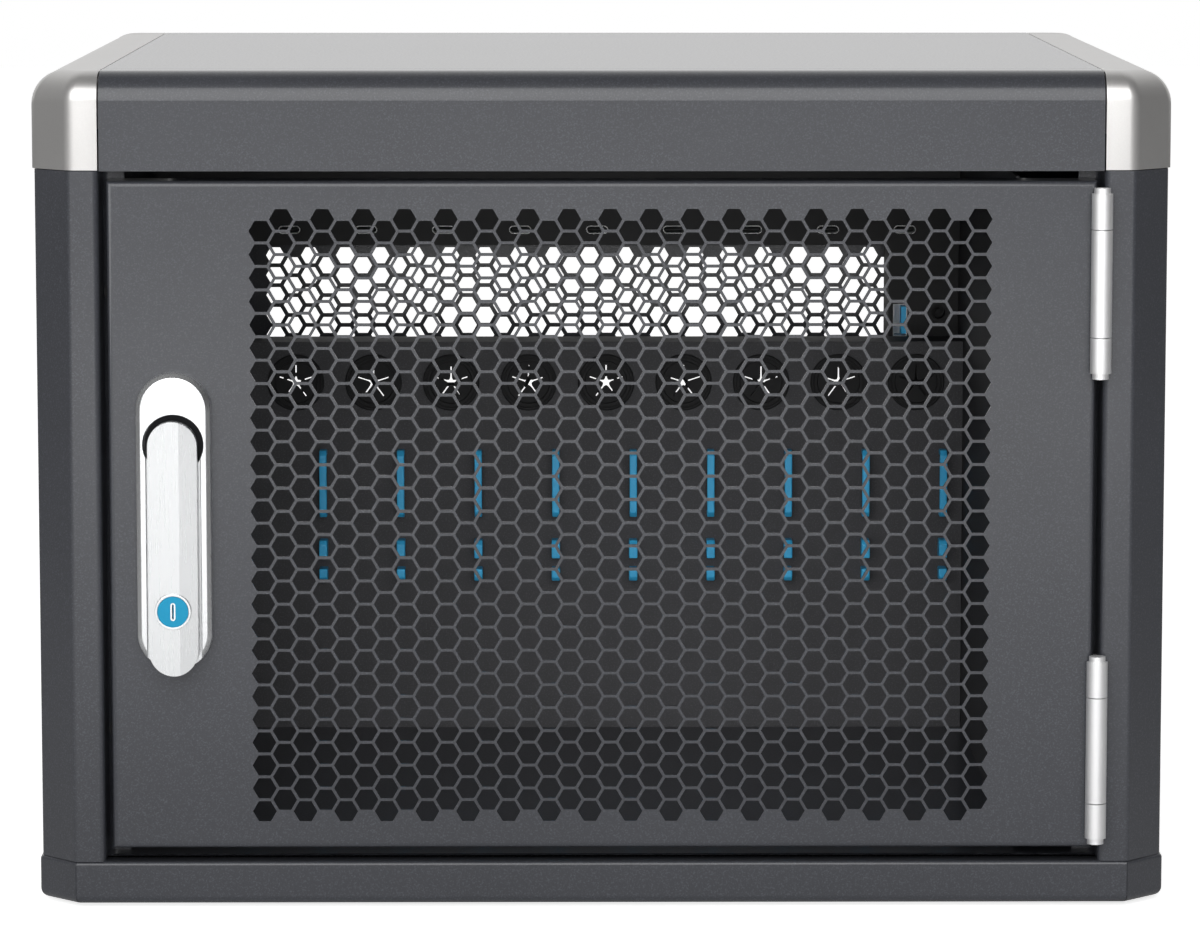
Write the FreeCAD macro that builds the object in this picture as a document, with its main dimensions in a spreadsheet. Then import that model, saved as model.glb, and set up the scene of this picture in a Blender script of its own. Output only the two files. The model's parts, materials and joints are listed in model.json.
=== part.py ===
import FreeCAD, Part
import Sketcher
import math
import operator
import os

# Desktop charging cabinet with a perforated door, in millimetres.
# X runs to the right, Y to the back and Z up; the origin is the bottom centre.

DRIVING_SIZES = (
    # Cabinet
    ("width", 400.0),
    ("depth", 335.0),
    ("foot_height", 1.6),
    ("plinth_height", 15.2),
    ("opening_height", 244.6),
    ("crown_height", 34.6),
    ("sheet_wall", 1.2),
    ("seam", 0.3),
    ("cut_overrun", 3.0),
    ("match_tolerance", 0.001),
    # Base tray and feet
    ("plinth_return", 26.0),
    ("foot_radius", 9.0),
    ("foot_inset", 24.0),
    # Side panels
    ("corner_chamfer", 13.8),
    ("post_width", 24.4),
    ("jamb_depth", 18.0),
    ("stop_lip", 7.6),
    ("rear_flange", 15.0),
    # Crown: fascias, rails, caps and top
    ("crown_bend", 10.0),
    ("crown_lip", 22.0),
    ("fascia_return", 18.0),
    ("rail_rounding", 12.0),
    ("rail_wall", 1.6),
    ("rail_ledge", 5.0),
    # Door
    ("door_side_gap", 2.65),
    ("door_top_gap", 3.5),
    ("door_bottom_gap", 4.9),
    ("door_depth", 16.0),
    ("door_bend", 2.0),
    ("grille_columns", 16.0),
    ("grille_rows", 11.0),
    ("grille_row_pitch", 18.6),
    ("grille_hole", 16.9),
    ("grille_border", 2.0),
    ("grille_shift", 6.5),
    ("bumper_radius", 3.0),
    ("bumper_inset", 40.0),
    # Hinges
    ("hinge_radius", 3.7),
    ("hinge_stand", 4.0),
    ("hinge_inset", 35.6),
    ("hinge_leaf", 1.1),
    ("hinge_leaf_reach", 14.0),
    ("hinge_tail", 0.3),
    ("knuckle_middle", 37.4),
    ("knuckle_end", 12.4),
    ("knuckle_gap", 0.35),
    ("hinge_pin_radius", 1.9),
    ("pin_clearance", 0.05),
    ("pin_head_radius", 2.9),
    ("pin_head_height", 2.0),
    # Handle
    ("handle_inset", 22.95),
    ("handle_drop", 91.8),
    ("plate_width", 26.2),
    ("plate_height", 105.0),
    ("plate_rise", 25.1),
    ("plate_thick", 6.0),
    ("plate_bevel", 1.6),
    ("pocket_radius", 10.6),
    ("groove_margin", 0.9),
    ("groove_depth", 2.5),
    ("lever_width", 17.3),
    ("lever_length", 89.5),
    ("lever_float", 0.3),
    ("lever_edge", 4.5),
    ("lever_crest", 6.5),
    ("crest_shift", 2.3),
    ("lever_pin_rise", 2.2),
    ("lever_pin_radius", 1.1),
    ("lever_pin_length", 14.0),
    ("knuckle_radius", 2.1),
    ("knuckle_width", 6.0),
    ("knuckle_neck", 4.0),
    ("lever_slot_length", 10.0),
    ("knuckle_clearance", 0.3),
    # Lock
    ("lock_drop", 57.9),
    ("lock_radius", 6.4),
    ("lock_wall", 0.95),
    ("lock_proud", 0.5),
    ("lock_floor", 1.0),
    ("keyway_width", 1.8),
    ("keyway_height", 6.4),
    ("keyway_depth", 4.0),
    # Spindle and cam
    ("spindle_flange_radius", 10.2),
    ("spindle_flange", 1.2),
    ("spindle_radius", 5.0),
    ("spindle_stub", 6.0),
    ("door_hole_margin", 0.4),
    ("housing_plate", 2.0),
    ("housing_plate_width", 22.0),
    ("housing_plate_height", 74.0),
    ("housing_drop", 12.5),
    ("boss_radius", 8.5),
    ("cam_stand", 20.5),
    ("cam_thick", 2.5),
    ("cam_length", 23.0),
    ("cam_width", 13.0),
    # Cable wall
    ("partition_set", 272.0),
    ("shelf_height", 157.8),
    ("shelf_depth", 22.0),
    ("partition_foot", 12.0),
    ("bays", 10.0),
    ("grommet_shift", 12.1),
    ("grommet_rise", 141.5),
    ("grommet_radius", 11.35),
    ("grommet_neck_radius", 9.6),
    ("neck_sides", 12.0),
    ("grommet_ring_radius", 8.9),
    ("grommet_flange", 1.6),
    ("membrane", 1.2),
    ("slit_length", 6.9),
    ("slit_width", 0.9),
    ("slits", 5.0),
    ("bridge_shift", 1.2),
    ("bridge_width", 3.0),
    ("bridge_height", 27.0),
    ("bridge_rise", 101.1),
    ("bridge_proud", 8.0),
    ("bridge_wall", 2.4),
    ("bridge_bevel", 2.0),
    ("clip_width", 3.4),
    ("clip_rise", 69.1),
    ("clip_gap", 4.2),
    ("clip_upper_jaw", 7.2),
    ("clip_lower_jaw", 5.1),
    ("clip_bevel", 1.6),
    ("clip_proud", 8.5),
    # Charger and power
    ("power_bay", 53.0),
    ("duct_wall_set", 30.0),
    ("duct_foot", 8.0),
    ("charger_set", 294.0),
    ("charger_rise", 194.8),
    ("charger_height", 46.0),
    ("charger_gap", 22.0),
    ("port_rise", 201.1),
    ("port_width", 8.94),
    ("port_height", 3.26),
    ("port_bevel", 1.1),
    ("port_depth", 7.0),
    ("port_tongue", 0.7),
    ("port_tongue_width", 6.7),
    ("port_fit", 0.05),
    ("module_width", 28.4),
    ("module_set", 300.0),
    ("module_height", 61.0),
    ("socket_inset", 4.8),
    ("socket_rise", 29.9),
    ("socket_width", 5.7),
    ("socket_height", 13.2),
    ("socket_wall", 0.4),
    ("socket_depth", 10.0),
    ("tongue_thick", 2.0),
    ("tongue_height", 11.0),
    ("jack_inset", 20.4),
    ("jack_rise", 33.2),
    ("jack_radius", 4.25),
    ("jack_bore_radius", 2.75),
    ("jack_pin_radius", 1.0),
    ("jack_depth", 9.0),
    ("jack_floor", 2.0),
    ("supply_width", 34.0),
    ("supply_depth", 130.0),
    ("supply_height", 92.0),
    ("supply_set", 110.0),
    ("supply_rounding", 3.0),
    ("inlet_inset", 33.0),
    ("inlet_rise", 42.0),
    ("inlet_width", 20.0),
    ("inlet_height", 27.0),
    ("inlet_flange_margin", 2.4),
    ("inlet_flange", 2.2),
    ("inlet_depth", 17.0),
    ("inlet_recess_width", 16.0),
    ("inlet_recess_height", 23.0),
    ("inlet_recess_depth", 14.0),
    ("inlet_pin_width", 2.0),
    ("inlet_pin_height", 4.0),
    ("inlet_pin_length", 11.0),
    ("inlet_pin_spread", 5.0),
    ("inlet_pin_stagger", 3.5),
    ("switch_rise", 82.0),
    ("switch_width", 13.0),
    ("switch_height", 19.2),
    ("switch_wall", 1.0),
    ("switch_depth", 12.0),
    ("rocker_clearance", 0.4),
    ("rocker_face", 2.2),
    ("rocker_set", 1.0),
    ("vent_rows", 3.0),
    ("vent_rise", 156.7),
)

HALF_SHARE = 0.5
# Spacing of the bays and of the grille's columns, per unit of the cabinet's width
BAY_SHARE = 0.07775
GRILLE_COLUMN_SHARE = 0.040375
# Corner of a sheet folded by 45 degrees: how far its inner corner runs along the sheet, per wall
FOLD_SHARE = math.sqrt(2.0) - 1.0
# Chamfer lost by a corner that is set in, per unit of inset
INSET_SHARE = 2.0 - math.sqrt(2.0)
# Corner radius of a hexagon, per unit across its flats
HEX_CORNER_SHARE = 1.0 / math.sqrt(3.0)
# Rocker: its lean at rest, and its face, dip and foot as shares of its own size
ROCKER_TILT_DEGREES = 8.0
ROCKER_FACE_SHARE = 0.92
ROCKER_DIP_SHARE = 0.6
ROCKER_FOOT_SHARE = 0.5

doc = FreeCAD.newDocument("charging_cabinet")
sheet = doc.addObject("Spreadsheet::Sheet", "Sheet")
nodes = []


class Size:
    """A number kept together with the sheet expression that gives it."""

    SIGNS = {"+": operator.add, "-": operator.sub, "*": operator.mul, "/": operator.truediv}

    def __init__(self, value, text):
        self.value = float(value)
        self.text = text

    @classmethod
    def of(cls, thing):
        """Return thing as a Size."""
        return thing if isinstance(thing, Size) else cls(thing, f"({float(thing)!r})")

    @classmethod
    def joined(cls, left, sign, right):
        """Return the Size that two others give with an arithmetic sign."""
        left, right = cls.of(left), cls.of(right)
        value = cls.SIGNS[sign](left.value, right.value)
        return cls(value, f"({left.text} {sign} {right.text})")

    def __add__(self, other):
        return Size.joined(self, "+", other)

    def __radd__(self, other):
        return Size.joined(other, "+", self)

    def __sub__(self, other):
        return Size.joined(self, "-", other)

    def __rsub__(self, other):
        return Size.joined(other, "-", self)

    def __mul__(self, other):
        return Size.joined(self, "*", other)

    def __rmul__(self, other):
        return Size.joined(other, "*", self)

    def __truediv__(self, other):
        return Size.joined(self, "/", other)

    def __neg__(self):
        return Size.joined(0.0, "-", self)


def fill_sheet():
    """Write the driving sizes into the sheet and return them by name."""
    sizes = {}
    for row, (name, value) in enumerate(DRIVING_SIZES, start=1):
        sheet.set(f"A{row}", name)
        sheet.set(f"B{row}", str(value))
        sheet.setAlias(f"B{row}", name)
        sizes[name] = Size(value, f"Sheet.{name}")
    doc.recompute()
    return sizes


s = fill_sheet()
wall = s["sheet_wall"]
seam = s["seam"]
over = s["cut_overrun"]

# Main planes of the cabinet
half = s["width"] * HALF_SHARE
handle_proud = s["plate_thick"] + s["lever_float"] + s["lever_crest"] + s["lock_proud"]
rear_proud = s["inlet_flange"] - wall
front = (handle_proud - rear_proud - s["depth"]) * HALF_SHARE
back = front + s["depth"]
plinth_bottom = s["foot_height"]
floor_top = plinth_bottom + s["plinth_height"]
crown_bottom = floor_top + s["opening_height"]
top = crown_bottom + s["crown_height"]
jamb = half - s["post_width"]
rear_face = back - wall
rear_inside = rear_face - wall

# Door and handle
door_half = jamb - s["door_side_gap"]
door_bottom = floor_top + s["door_bottom_gap"]
door_top = crown_bottom - s["door_top_gap"]
door_back = front + s["door_depth"]
door_inside = front + wall
column_pitch = s["width"] * GRILLE_COLUMN_SHARE
handle_x = s["handle_inset"] - door_half
pivot_z = door_top - s["handle_drop"]
plate_face = front - s["plate_thick"]
lever_under = plate_face - s["lever_float"]
pivot_y = lever_under - s["lever_pin_rise"]
lock_z = pivot_z - s["lock_drop"]
hinge_x = jamb - s["door_side_gap"] * HALF_SHARE
hinge_y = front - s["hinge_stand"]

# Cable wall and power
partition_front = front + s["partition_set"]
shelf_top = floor_top + s["shelf_height"]
bay_pitch = s["width"] * BAY_SHARE
duct_x = half - s["power_bay"]
inlet_x = half - s["inlet_inset"]
charger_front = front + s["charger_set"]
charger_bottom = floor_top + s["charger_rise"]
module_left = duct_x - seam - s["module_width"]
module_front = front + s["module_set"]
module_bottom = charger_bottom - s["module_height"]
rocker_y = rear_face - s["rocker_set"]


class Outline:
    """A closed outline in a sketch plane.

    points are its corners, and arcs gives, for a side that starts at that corner, the centre of its arc
    and whether the arc turns left.
    """

    def __init__(self, points, arcs=None):
        self.points = [(Size.of(a), Size.of(b)) for a, b in points]
        self.arcs = arcs or {}

    def draw(self, sketch):
        """Add the outline's sides to a sketch, with every corner held by the sheet."""
        sides = []
        for index in range(len(self.points)):
            sides.append(self.add_side(sketch, index))
        for index, (name, first, _last) in enumerate(sides):
            before, _first, last = sides[index - 1]
            sketch.addConstraint(Sketcher.Constraint("Coincident", before, last, name, first))
            hold_point(sketch, name, first, self.points[index])
        for index, (centre, _left) in self.arcs.items():
            self.hold_centre(sketch, sides[index][0], index, centre)

    def add_side(self, sketch, index):
        """Add one side and return its number with the positions of its two ends."""
        start = flat(self.points[index])
        end = flat(self.points[(index + 1) % len(self.points)])
        if index not in self.arcs:
            return sketch.addGeometry(Part.LineSegment(start, end), False), 1, 2
        centre, left = self.arcs[index]
        centre = flat(centre)
        low, high = (start, end) if left else (end, start)
        circle = Part.Circle(centre, FreeCAD.Vector(0, 0, 1), (start - centre).Length)
        arc = Part.ArcOfCircle(circle, bearing(low - centre), bearing(high - centre))
        name = sketch.addGeometry(arc, False)
        return (name, 1, 2) if left else (name, 2, 1)

    def hold_centre(self, sketch, name, index, centre):
        """Hold the one coordinate of an arc's centre that its two ends leave free."""
        chord = flat(self.points[(index + 1) % len(self.points)]) - flat(self.points[index])
        axis = 0 if abs(chord.y) > abs(chord.x) else 1
        kind = ("DistanceX", "DistanceY")[axis]
        hold(sketch, Sketcher.Constraint(kind, name, 3, Size.of(centre[axis]).value), centre[axis])


class Ring:
    """A circle in a sketch plane."""

    def __init__(self, centre, radius):
        self.centre = (Size.of(centre[0]), Size.of(centre[1]))
        self.radius = radius

    def draw(self, sketch):
        """Add the circle to a sketch, held by the sheet."""
        circle = Part.Circle(flat(self.centre), FreeCAD.Vector(0, 0, 1), self.radius.value)
        name = sketch.addGeometry(circle, False)
        hold_point(sketch, name, 3, self.centre)
        hold(sketch, Sketcher.Constraint("Radius", name, self.radius.value), self.radius)


def flat(point):
    """Return a pair of sizes as a vector in the sketch plane."""
    return FreeCAD.Vector(Size.of(point[0]).value, Size.of(point[1]).value, 0)


def bearing(vector):
    """Return the angle of a vector in the sketch plane."""
    return math.atan2(vector.y, vector.x)


def hold(sketch, constraint, size):
    """Add a constraint and bind its value to the sheet."""
    number = sketch.addConstraint(constraint)
    sketch.setExpression(f"Constraints[{number}]", Size.of(size).text)


def hold_point(sketch, name, position, point):
    """Hold both coordinates of a point of a sketch."""
    hold(sketch, Sketcher.Constraint("DistanceX", name, position, point[0].value), point[0])
    hold(sketch, Sketcher.Constraint("DistanceY", name, position, point[1].value), point[1])


def rectangle(x0, x1, y0, y1):
    """Return the outline of an upright rectangle."""
    return Outline([(x0, y0), (x1, y0), (x1, y1), (x0, y1)])


def stadium(x, y, width, height):
    """Return an outline with straight long sides and round ends, about its centre."""
    radius = width * HALF_SHARE
    reach = (height - width) * HALF_SHARE
    points = [(x + radius, y - reach), (x + radius, y + reach), (x - radius, y + reach), (x - radius, y - reach)]
    return Outline(points, {1: ((x, y + reach), True), 3: ((x, y - reach), True)})


class Piece:
    """A body built from pads and pockets whose sketches lie on planes across X, Y or Z."""

    # Origin plane across each axis, and which way its normal runs along that axis
    PLANES = {"Z": ("XY_Plane", 1), "Y": ("XZ_Plane", -1), "X": ("YZ_Plane", 1)}

    def __init__(self, label):
        self.body = doc.addObject("PartDesign::Body", label)
        self.body.Label = label

    def sketch(self, axis, start, outlines):
        """Return a sketch across an axis, at a place along it."""
        role, sense = self.PLANES[axis]
        sketch = self.body.newObject("Sketcher::SketchObject", "Sketch")
        plane = [item for item in self.body.Origin.OriginFeatures if item.Role == role][0]
        sketch.AttachmentSupport = (plane, "")
        sketch.MapMode = "FlatFace"
        sketch.setExpression("AttachmentOffset.Base.z", (Size.of(start) * sense).text)
        for outline in outlines:
            outline.draw(sketch)
        return sketch

    def feature(self, kind, axis, start, length, outlines):
        """Add a pad or a pocket that runs from start, towards the axis's plus side."""
        sketch = self.sketch(axis, start, outlines)
        feature = self.body.newObject(kind, kind.split("::")[1])
        feature.Profile = sketch
        feature.setExpression("Length", Size.of(length).text)
        along = self.PLANES[axis][1] > 0
        feature.Reversed = not along if kind == "PartDesign::Pad" else along
        return self

    def pad(self, axis, start, length, *outlines):
        """Add material from start over a length."""
        return self.feature("PartDesign::Pad", axis, start, length, outlines)

    def cut(self, axis, start, length, *outlines):
        """Take material away from start over a length, and see that some went."""
        doc.recompute()
        before = self.body.Shape.Volume
        self.feature("PartDesign::Pocket", axis, start, length, outlines)
        doc.recompute()
        if not self.body.Shape.Volume < before:
            raise RuntimeError(f"a pocket in {self.body.Label} takes nothing away")
        return self

    def dress_edges(self, kind, size_name, size, picked):
        """Round or chamfer the edges whose two ends and middle the test accepts."""
        doc.recompute()
        names = []
        for number, edge in enumerate(self.body.Shape.Edges, start=1):
            middle = edge.valueAt((edge.FirstParameter + edge.LastParameter) * HALF_SHARE)
            if all(picked(point) for point in [middle] + [vertex.Point for vertex in edge.Vertexes]):
                names.append(f"Edge{number}")
        base = self.body.Tip
        dressing = self.body.newObject(kind, kind.split("::")[1])
        dressing.Base = (base, names)
        dressing.setExpression(size_name, Size.of(size).text)
        return self

    def round_edges(self, radius, picked):
        """Round the edges that the test accepts."""
        return self.dress_edges("PartDesign::Fillet", "Radius", radius, picked)

    def bevel_edges(self, size, picked):
        """Chamfer the edges that the test accepts."""
        return self.dress_edges("PartDesign::Chamfer", "Size", size, picked)

    def node(self):
        """Keep the body as one of the assembly's pieces."""
        nodes.append(self.body)
        return self.body


def on(value, size):
    """Return whether a coordinate lies on a plane of the model."""
    return math.isclose(value, Size.of(size).value, abs_tol=s["match_tolerance"].value)


def cylinder(label, axis, start, length, centre, radius):
    """Return a Part cylinder along an axis; centre gives its other two coordinates in X, Y, Z order."""
    turns = {
        "X": FreeCAD.Rotation(FreeCAD.Vector(0, 1, 0), 90),
        "Y": FreeCAD.Rotation(FreeCAD.Vector(1, 0, 0), -90),
        "Z": FreeCAD.Rotation(),
    }
    places = {"X": (start, *centre), "Y": (centre[0], start, centre[1]), "Z": (*centre, start)}
    item = doc.addObject("Part::Cylinder", label)
    item.Label = label
    item.Placement = FreeCAD.Placement(FreeCAD.Vector(), turns[axis])
    item.setExpression("Radius", Size.of(radius).text)
    item.setExpression("Height", Size.of(length).text)
    for letter, place in zip("xyz", places[axis]):
        item.setExpression(f"Placement.Base.{letter}", Size.of(place).text)
    return item


def joined(kind, label, *items):
    """Return a boolean of several objects: Part::MultiFuse or Part::MultiCommon."""
    item = doc.addObject(kind, label)
    item.Label = label
    item.Shapes = list(items)
    item.Refine = False
    return item


def keep(item):
    """Keep an object as one of the assembly's pieces."""
    nodes.append(item)
    return item


def shape_piece(label, shape):
    """Return a plain object that holds a shape worked out from the sizes."""
    item = doc.addObject("Part::Feature", label)
    item.Label = label
    item.Shape = shape
    item.Placement = FreeCAD.Placement()
    return item


def row_of(label, places, *sources):
    """Return one object holding a copy of one or more pieces at each place."""
    doc.recompute()
    copies = []
    for place in places:
        for source in sources:
            copy = source.Shape.copy()
            copy.translate(FreeCAD.Vector(*[Size.of(value).value for value in place]))
            copies.extend(copy.Solids)
    return shape_piece(label, Part.makeCompound(copies))


def hexagons(centre_x, centre_z, rows):
    """Return the wires of a field of flat-topped hexagons in a plane across Y, columns half a row apart."""
    radius = (s["grille_hole"] * HEX_CORNER_SHARE).value
    columns = int(s["grille_columns"].value)
    step = column_pitch.value
    row_pitch = s["grille_row_pitch"].value
    left = centre_x.value - (columns - 1) * step * HALF_SHARE
    low = centre_z.value - (rows.value - HALF_SHARE) * row_pitch * HALF_SHARE
    corners = [
        FreeCAD.Vector(radius * math.cos(turn * math.pi / 3), 0, radius * math.sin(turn * math.pi / 3))
        for turn in range(7)
    ]
    wires = []
    for column in range(columns):
        lift = (column % 2) * HALF_SHARE
        for row in range(int(rows.value)):
            middle = FreeCAD.Vector(left + column * step, 0, low + (lift + row) * row_pitch)
            wires.append(Part.makePolygon([middle + corner for corner in corners]))
    return wires


def upright_wire(x0, x1, z0, z1):
    """Return the wire of a rectangle in a plane across Y."""
    corners = [(x0, z0), (x1, z0), (x1, z1), (x0, z1), (x0, z0)]
    return Part.makePolygon([FreeCAD.Vector(Size.of(x).value, 0, Size.of(z).value) for x, z in corners])


def holed_sheet(outer, holes, start, thick):
    """Return a flat sheet across Y made from one face with holes."""
    face = Part.makeFace([outer] + holes, "Part::FaceMakerBullseye")
    face.translate(FreeCAD.Vector(0, start.value, 0))
    return face.extrude(FreeCAD.Vector(0, thick.value, 0))


def chamfered_plan(inset):
    """Return the cabinet's plan, set in, with both front corners chamfered."""
    side = half - inset
    near_edge = front + inset
    far_edge = back - inset
    chamfer = s["corner_chamfer"] - inset * INSET_SHARE
    return Outline([
        (-side, far_edge),
        (-side, near_edge + chamfer),
        (chamfer - side, near_edge),
        (side - chamfer, near_edge),
        (side, near_edge + chamfer),
        (side, far_edge),
    ])


# Base

def make_base():
    """Make the base tray, a folded floor with skirts and a bottom return, and its rubber feet."""
    tray = Piece("base_tray")
    tray.pad("Z", plinth_bottom, s["plinth_height"], chamfered_plan(Size.of(0)))
    tray.cut("Z", plinth_bottom + wall, s["plinth_height"] - wall * 2, chamfered_plan(wall))
    rim = s["plinth_return"]
    tray.cut("Z", plinth_bottom - over, wall + over, rectangle(rim - half, half - rim, front + rim, back - rim))
    tray.node()
    foot = cylinder("foot_blank", "Z", 0, s["foot_height"], (0, 0), s["foot_radius"])
    reach_x = half - s["foot_inset"]
    near_y = front + s["foot_inset"]
    far_y = back - s["foot_inset"]
    places = [(side * reach_x, y, 0) for side in (-1, 1) for y in (near_y, far_y)]
    keep(row_of("rubber_feet", places, foot))


# Side panels

def make_side_panel(label, side):
    """Make one side: wall, chamfer, post, jamb and stop lip, folded from one sheet."""
    chamfer = s["corner_chamfer"]
    lip_y = front + s["jamb_depth"]
    flange_x = half - s["rear_flange"]
    points = [
        (flange_x, back),
        (half, back),
        (half, front + chamfer),
        (half - chamfer, front),
        (jamb, front),
        (jamb, lip_y),
        (jamb - s["stop_lip"], lip_y),
        (jamb - s["stop_lip"], lip_y + wall),
        (jamb + wall, lip_y + wall),
        (jamb + wall, front + wall),
        (half - chamfer - wall * FOLD_SHARE, front + wall),
        (half - wall, front + chamfer + wall * FOLD_SHARE),
        (half - wall, back - wall),
        (flange_x, back - wall),
    ]
    panel = Piece(label)
    panel.pad("Z", floor_top, s["opening_height"], Outline([(side * x, y) for x, y in points]))
    panel.node()


# Crown

def make_fascia(label, edge, sense):
    """Make a fascia: a band bent over at the top, with a lip on top and a return below."""
    def across(depth):
        return edge + depth * sense

    bend = s["crown_bend"]
    centre = (across(bend), top - bend)
    left = sense < 0
    points = [
        (across(s["fascia_return"]), crown_bottom),
        (edge, crown_bottom),
        (edge, top - bend),
        (across(bend), top),
        (across(s["crown_lip"]), top),
        (across(s["crown_lip"]), top - wall),
        (across(bend), top - wall),
        (across(wall), top - bend),
        (across(wall), crown_bottom + wall),
        (across(s["fascia_return"]), crown_bottom + wall),
    ]
    fascia = Piece(label)
    length = (jamb - seam) * 2
    fascia.pad("X", seam - jamb, length, Outline(points, {2: (centre, left), 6: (centre, not left)}))
    fascia.node()


def rail_section(side, inner):
    """Return the section of a top rail: rounded outer edge, and a ledge below the top panel."""
    rounding = s["rail_rounding"]
    skin = wall + s["rail_wall"]
    centre = (side * (half - rounding), top - rounding)
    left = side > 0
    points = [
        (half, crown_bottom),
        (half, top - rounding),
        (half - rounding, top),
        (jamb, top),
        (jamb, top - wall),
        (jamb - inner, top - wall),
        (jamb - inner, top - skin),
        (half - rounding, top - skin),
        (half - skin, top - rounding),
        (half - skin, crown_bottom),
    ]
    points = [(side * x, z) for x, z in points]
    return Outline(points, {1: (centre, left), 7: (centre, not left)})


def make_rail(label, side):
    """Make a top rail that runs between its two corner caps."""
    start = front + s["crown_lip"] + seam
    length = s["depth"] - (s["crown_lip"] + seam) * 2
    rail = Piece(label)
    rail.pad("Y", start, length, rail_section(side, s["rail_ledge"]))
    rail.node()


def make_cap(label, side, edge, sense):
    """Make a corner cap: the rail's rounding, the fascia's bend and the post's chamfer meet in it."""
    chamfer = s["corner_chamfer"]
    bend = s["crown_bend"]
    rounding = s["rail_rounding"]
    depth = s["crown_lip"]
    inner = edge + depth * sense
    plan = [(side * jamb, edge), (side * jamb, inner), (side * half, inner)]
    if sense > 0:
        plan += [(side * half, edge + chamfer), (side * (half - chamfer), edge)]
    else:
        plan += [(side * half, edge)]
    block = Piece(f"{label}_plan")
    block.pad("Z", crown_bottom, s["crown_height"], Outline(plan))
    bent = Piece(f"{label}_bend")
    bend_points = [
        (edge, crown_bottom), (edge, top - bend), (edge + bend * sense, top), (inner, top), (inner, crown_bottom)
    ]
    bend_centre = (edge + bend * sense, top - bend)
    bent.pad("X", -half, s["width"], Outline(bend_points, {1: (bend_centre, sense < 0)}))
    rounded = Piece(f"{label}_rounding")
    round_points = [
        (half, crown_bottom), (half, top - rounding), (half - rounding, top), (jamb, top), (jamb, crown_bottom)
    ]
    round_centre = (side * (half - rounding), top - rounding)
    arcs = {1: (round_centre, side > 0)}
    rounded.pad("Y", front, s["depth"], Outline([(side * x, z) for x, z in round_points], arcs))
    keep(joined("Part::MultiCommon", label, block.body, bent.body, rounded.body))


def make_crown():
    """Make the top frame and the panel that lies in it."""
    make_fascia("front_fascia", front, 1)
    make_fascia("rear_fascia", back, -1)
    for name, side in (("left", -1), ("right", 1)):
        make_rail(f"{name}_rail", side)
        make_cap(f"front_{name}_cap", side, front, 1)
        make_cap(f"rear_{name}_cap", side, back, -1)
    inset = s["crown_lip"] + seam
    panel = Piece("top_panel")
    panel.pad("Z", top - wall, wall, rectangle(seam - jamb, jamb - seam, front + inset, back - inset))
    panel.node()


# Rear panel

def power_window(rise, width, height):
    """Return the wire of a power cut-out in the rear panel."""
    reach_x = width * HALF_SHARE + s["port_fit"]
    reach_z = height * HALF_SHARE + s["port_fit"]
    middle = floor_top + rise
    return upright_wire(inlet_x - reach_x, inlet_x + reach_x, middle - reach_z, middle + reach_z)


def make_rear_panel():
    """Make the vented rear panel with its power cut-outs."""
    reach = half - wall - seam
    holes = hexagons(-s["grille_shift"], floor_top + s["vent_rise"], s["vent_rows"])
    holes.append(power_window(s["inlet_rise"], s["inlet_width"], s["inlet_height"]))
    holes.append(power_window(s["switch_rise"], s["switch_width"], s["switch_height"]))
    outer = upright_wire(-reach, reach, floor_top, crown_bottom)
    keep(shape_piece("rear_panel", holed_sheet(outer, holes, rear_inside, wall)))


# Cable wall

def star(x, z, arms, reach, width):
    """Return the outline of a star of straight slits that meet in the middle."""
    points = []
    step = math.pi * 2 / arms
    inner = width * (HALF_SHARE / math.sin(step * HALF_SHARE))
    for arm in range(arms):
        turn = math.pi * HALF_SHARE + arm * step
        along = (math.cos(turn), math.sin(turn))
        for flank in (-HALF_SHARE, HALF_SHARE):
            points.append((
                x + reach * along[0] - width * (flank * along[1]),
                z + reach * along[1] + width * (flank * along[0]),
            ))
        between = turn + step * HALF_SHARE
        points.append((x + inner * math.cos(between), z + inner * math.sin(between)))
    return Outline(points)


def polygon(x, z, radius):
    """Return the many-sided outline of a grommet's neck, its punched hole or its recess."""
    sides = int(s["neck_sides"].value)
    turns = [math.pi * 2 * side / sides for side in range(sides)]
    return Outline([(x + radius * math.cos(turn), z + radius * math.sin(turn)) for turn in turns])


def bay_places(shift):
    """Return the place of each bay's fitting along X."""
    count = int(s["bays"].value)
    return [bay_pitch * (bay - (count - 1) * HALF_SHARE) - shift for bay in range(count)]


def make_partition():
    """Make the cable partition: a wall with a foot, a shelf on top and a hole for each grommet."""
    face = partition_front
    shelf_back = face + s["shelf_depth"]
    foot_back = face + s["partition_foot"]
    section = Outline([
        (face, floor_top), (face, shelf_top), (shelf_back, shelf_top), (shelf_back, shelf_top - wall),
        (face + wall, shelf_top - wall), (face + wall, floor_top + wall), (foot_back, floor_top + wall),
        (foot_back, floor_top),
    ])
    left = wall + seam - half
    partition = Piece("cable_partition")
    partition.pad("X", left, duct_x - seam - left, section)
    grommet_z = floor_top + s["grommet_rise"]
    holes = [polygon(x, grommet_z, s["grommet_neck_radius"]) for x in bay_places(s["grommet_shift"])]
    partition.cut("Y", face - over, wall + over * 2, *holes)
    partition.node()


def make_grommets():
    """Make the rubber grommets: a flange, a neck, and a membrane slit into a star."""
    face = partition_front
    x = 0
    z = floor_top + s["grommet_rise"]
    start = face - s["grommet_flange"]
    length = s["grommet_flange"] + wall
    grommet = Piece("grommet_blank")
    grommet.pad("Y", start, s["grommet_flange"], Ring((x, z), s["grommet_radius"]))
    grommet.pad("Y", face, wall, polygon(x, z, s["grommet_neck_radius"] - s["pin_clearance"]))
    recess = polygon(x, z, s["grommet_ring_radius"])
    grommet.cut("Y", start - over, length - s["membrane"] + over, recess)
    slits = star(x, z, int(s["slits"].value), s["slit_length"], s["slit_width"])
    grommet.cut("Y", start, length + over, slits)
    keep(row_of("cable_grommets", [(place, 0, 0) for place in bay_places(s["grommet_shift"])], grommet.body))


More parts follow.
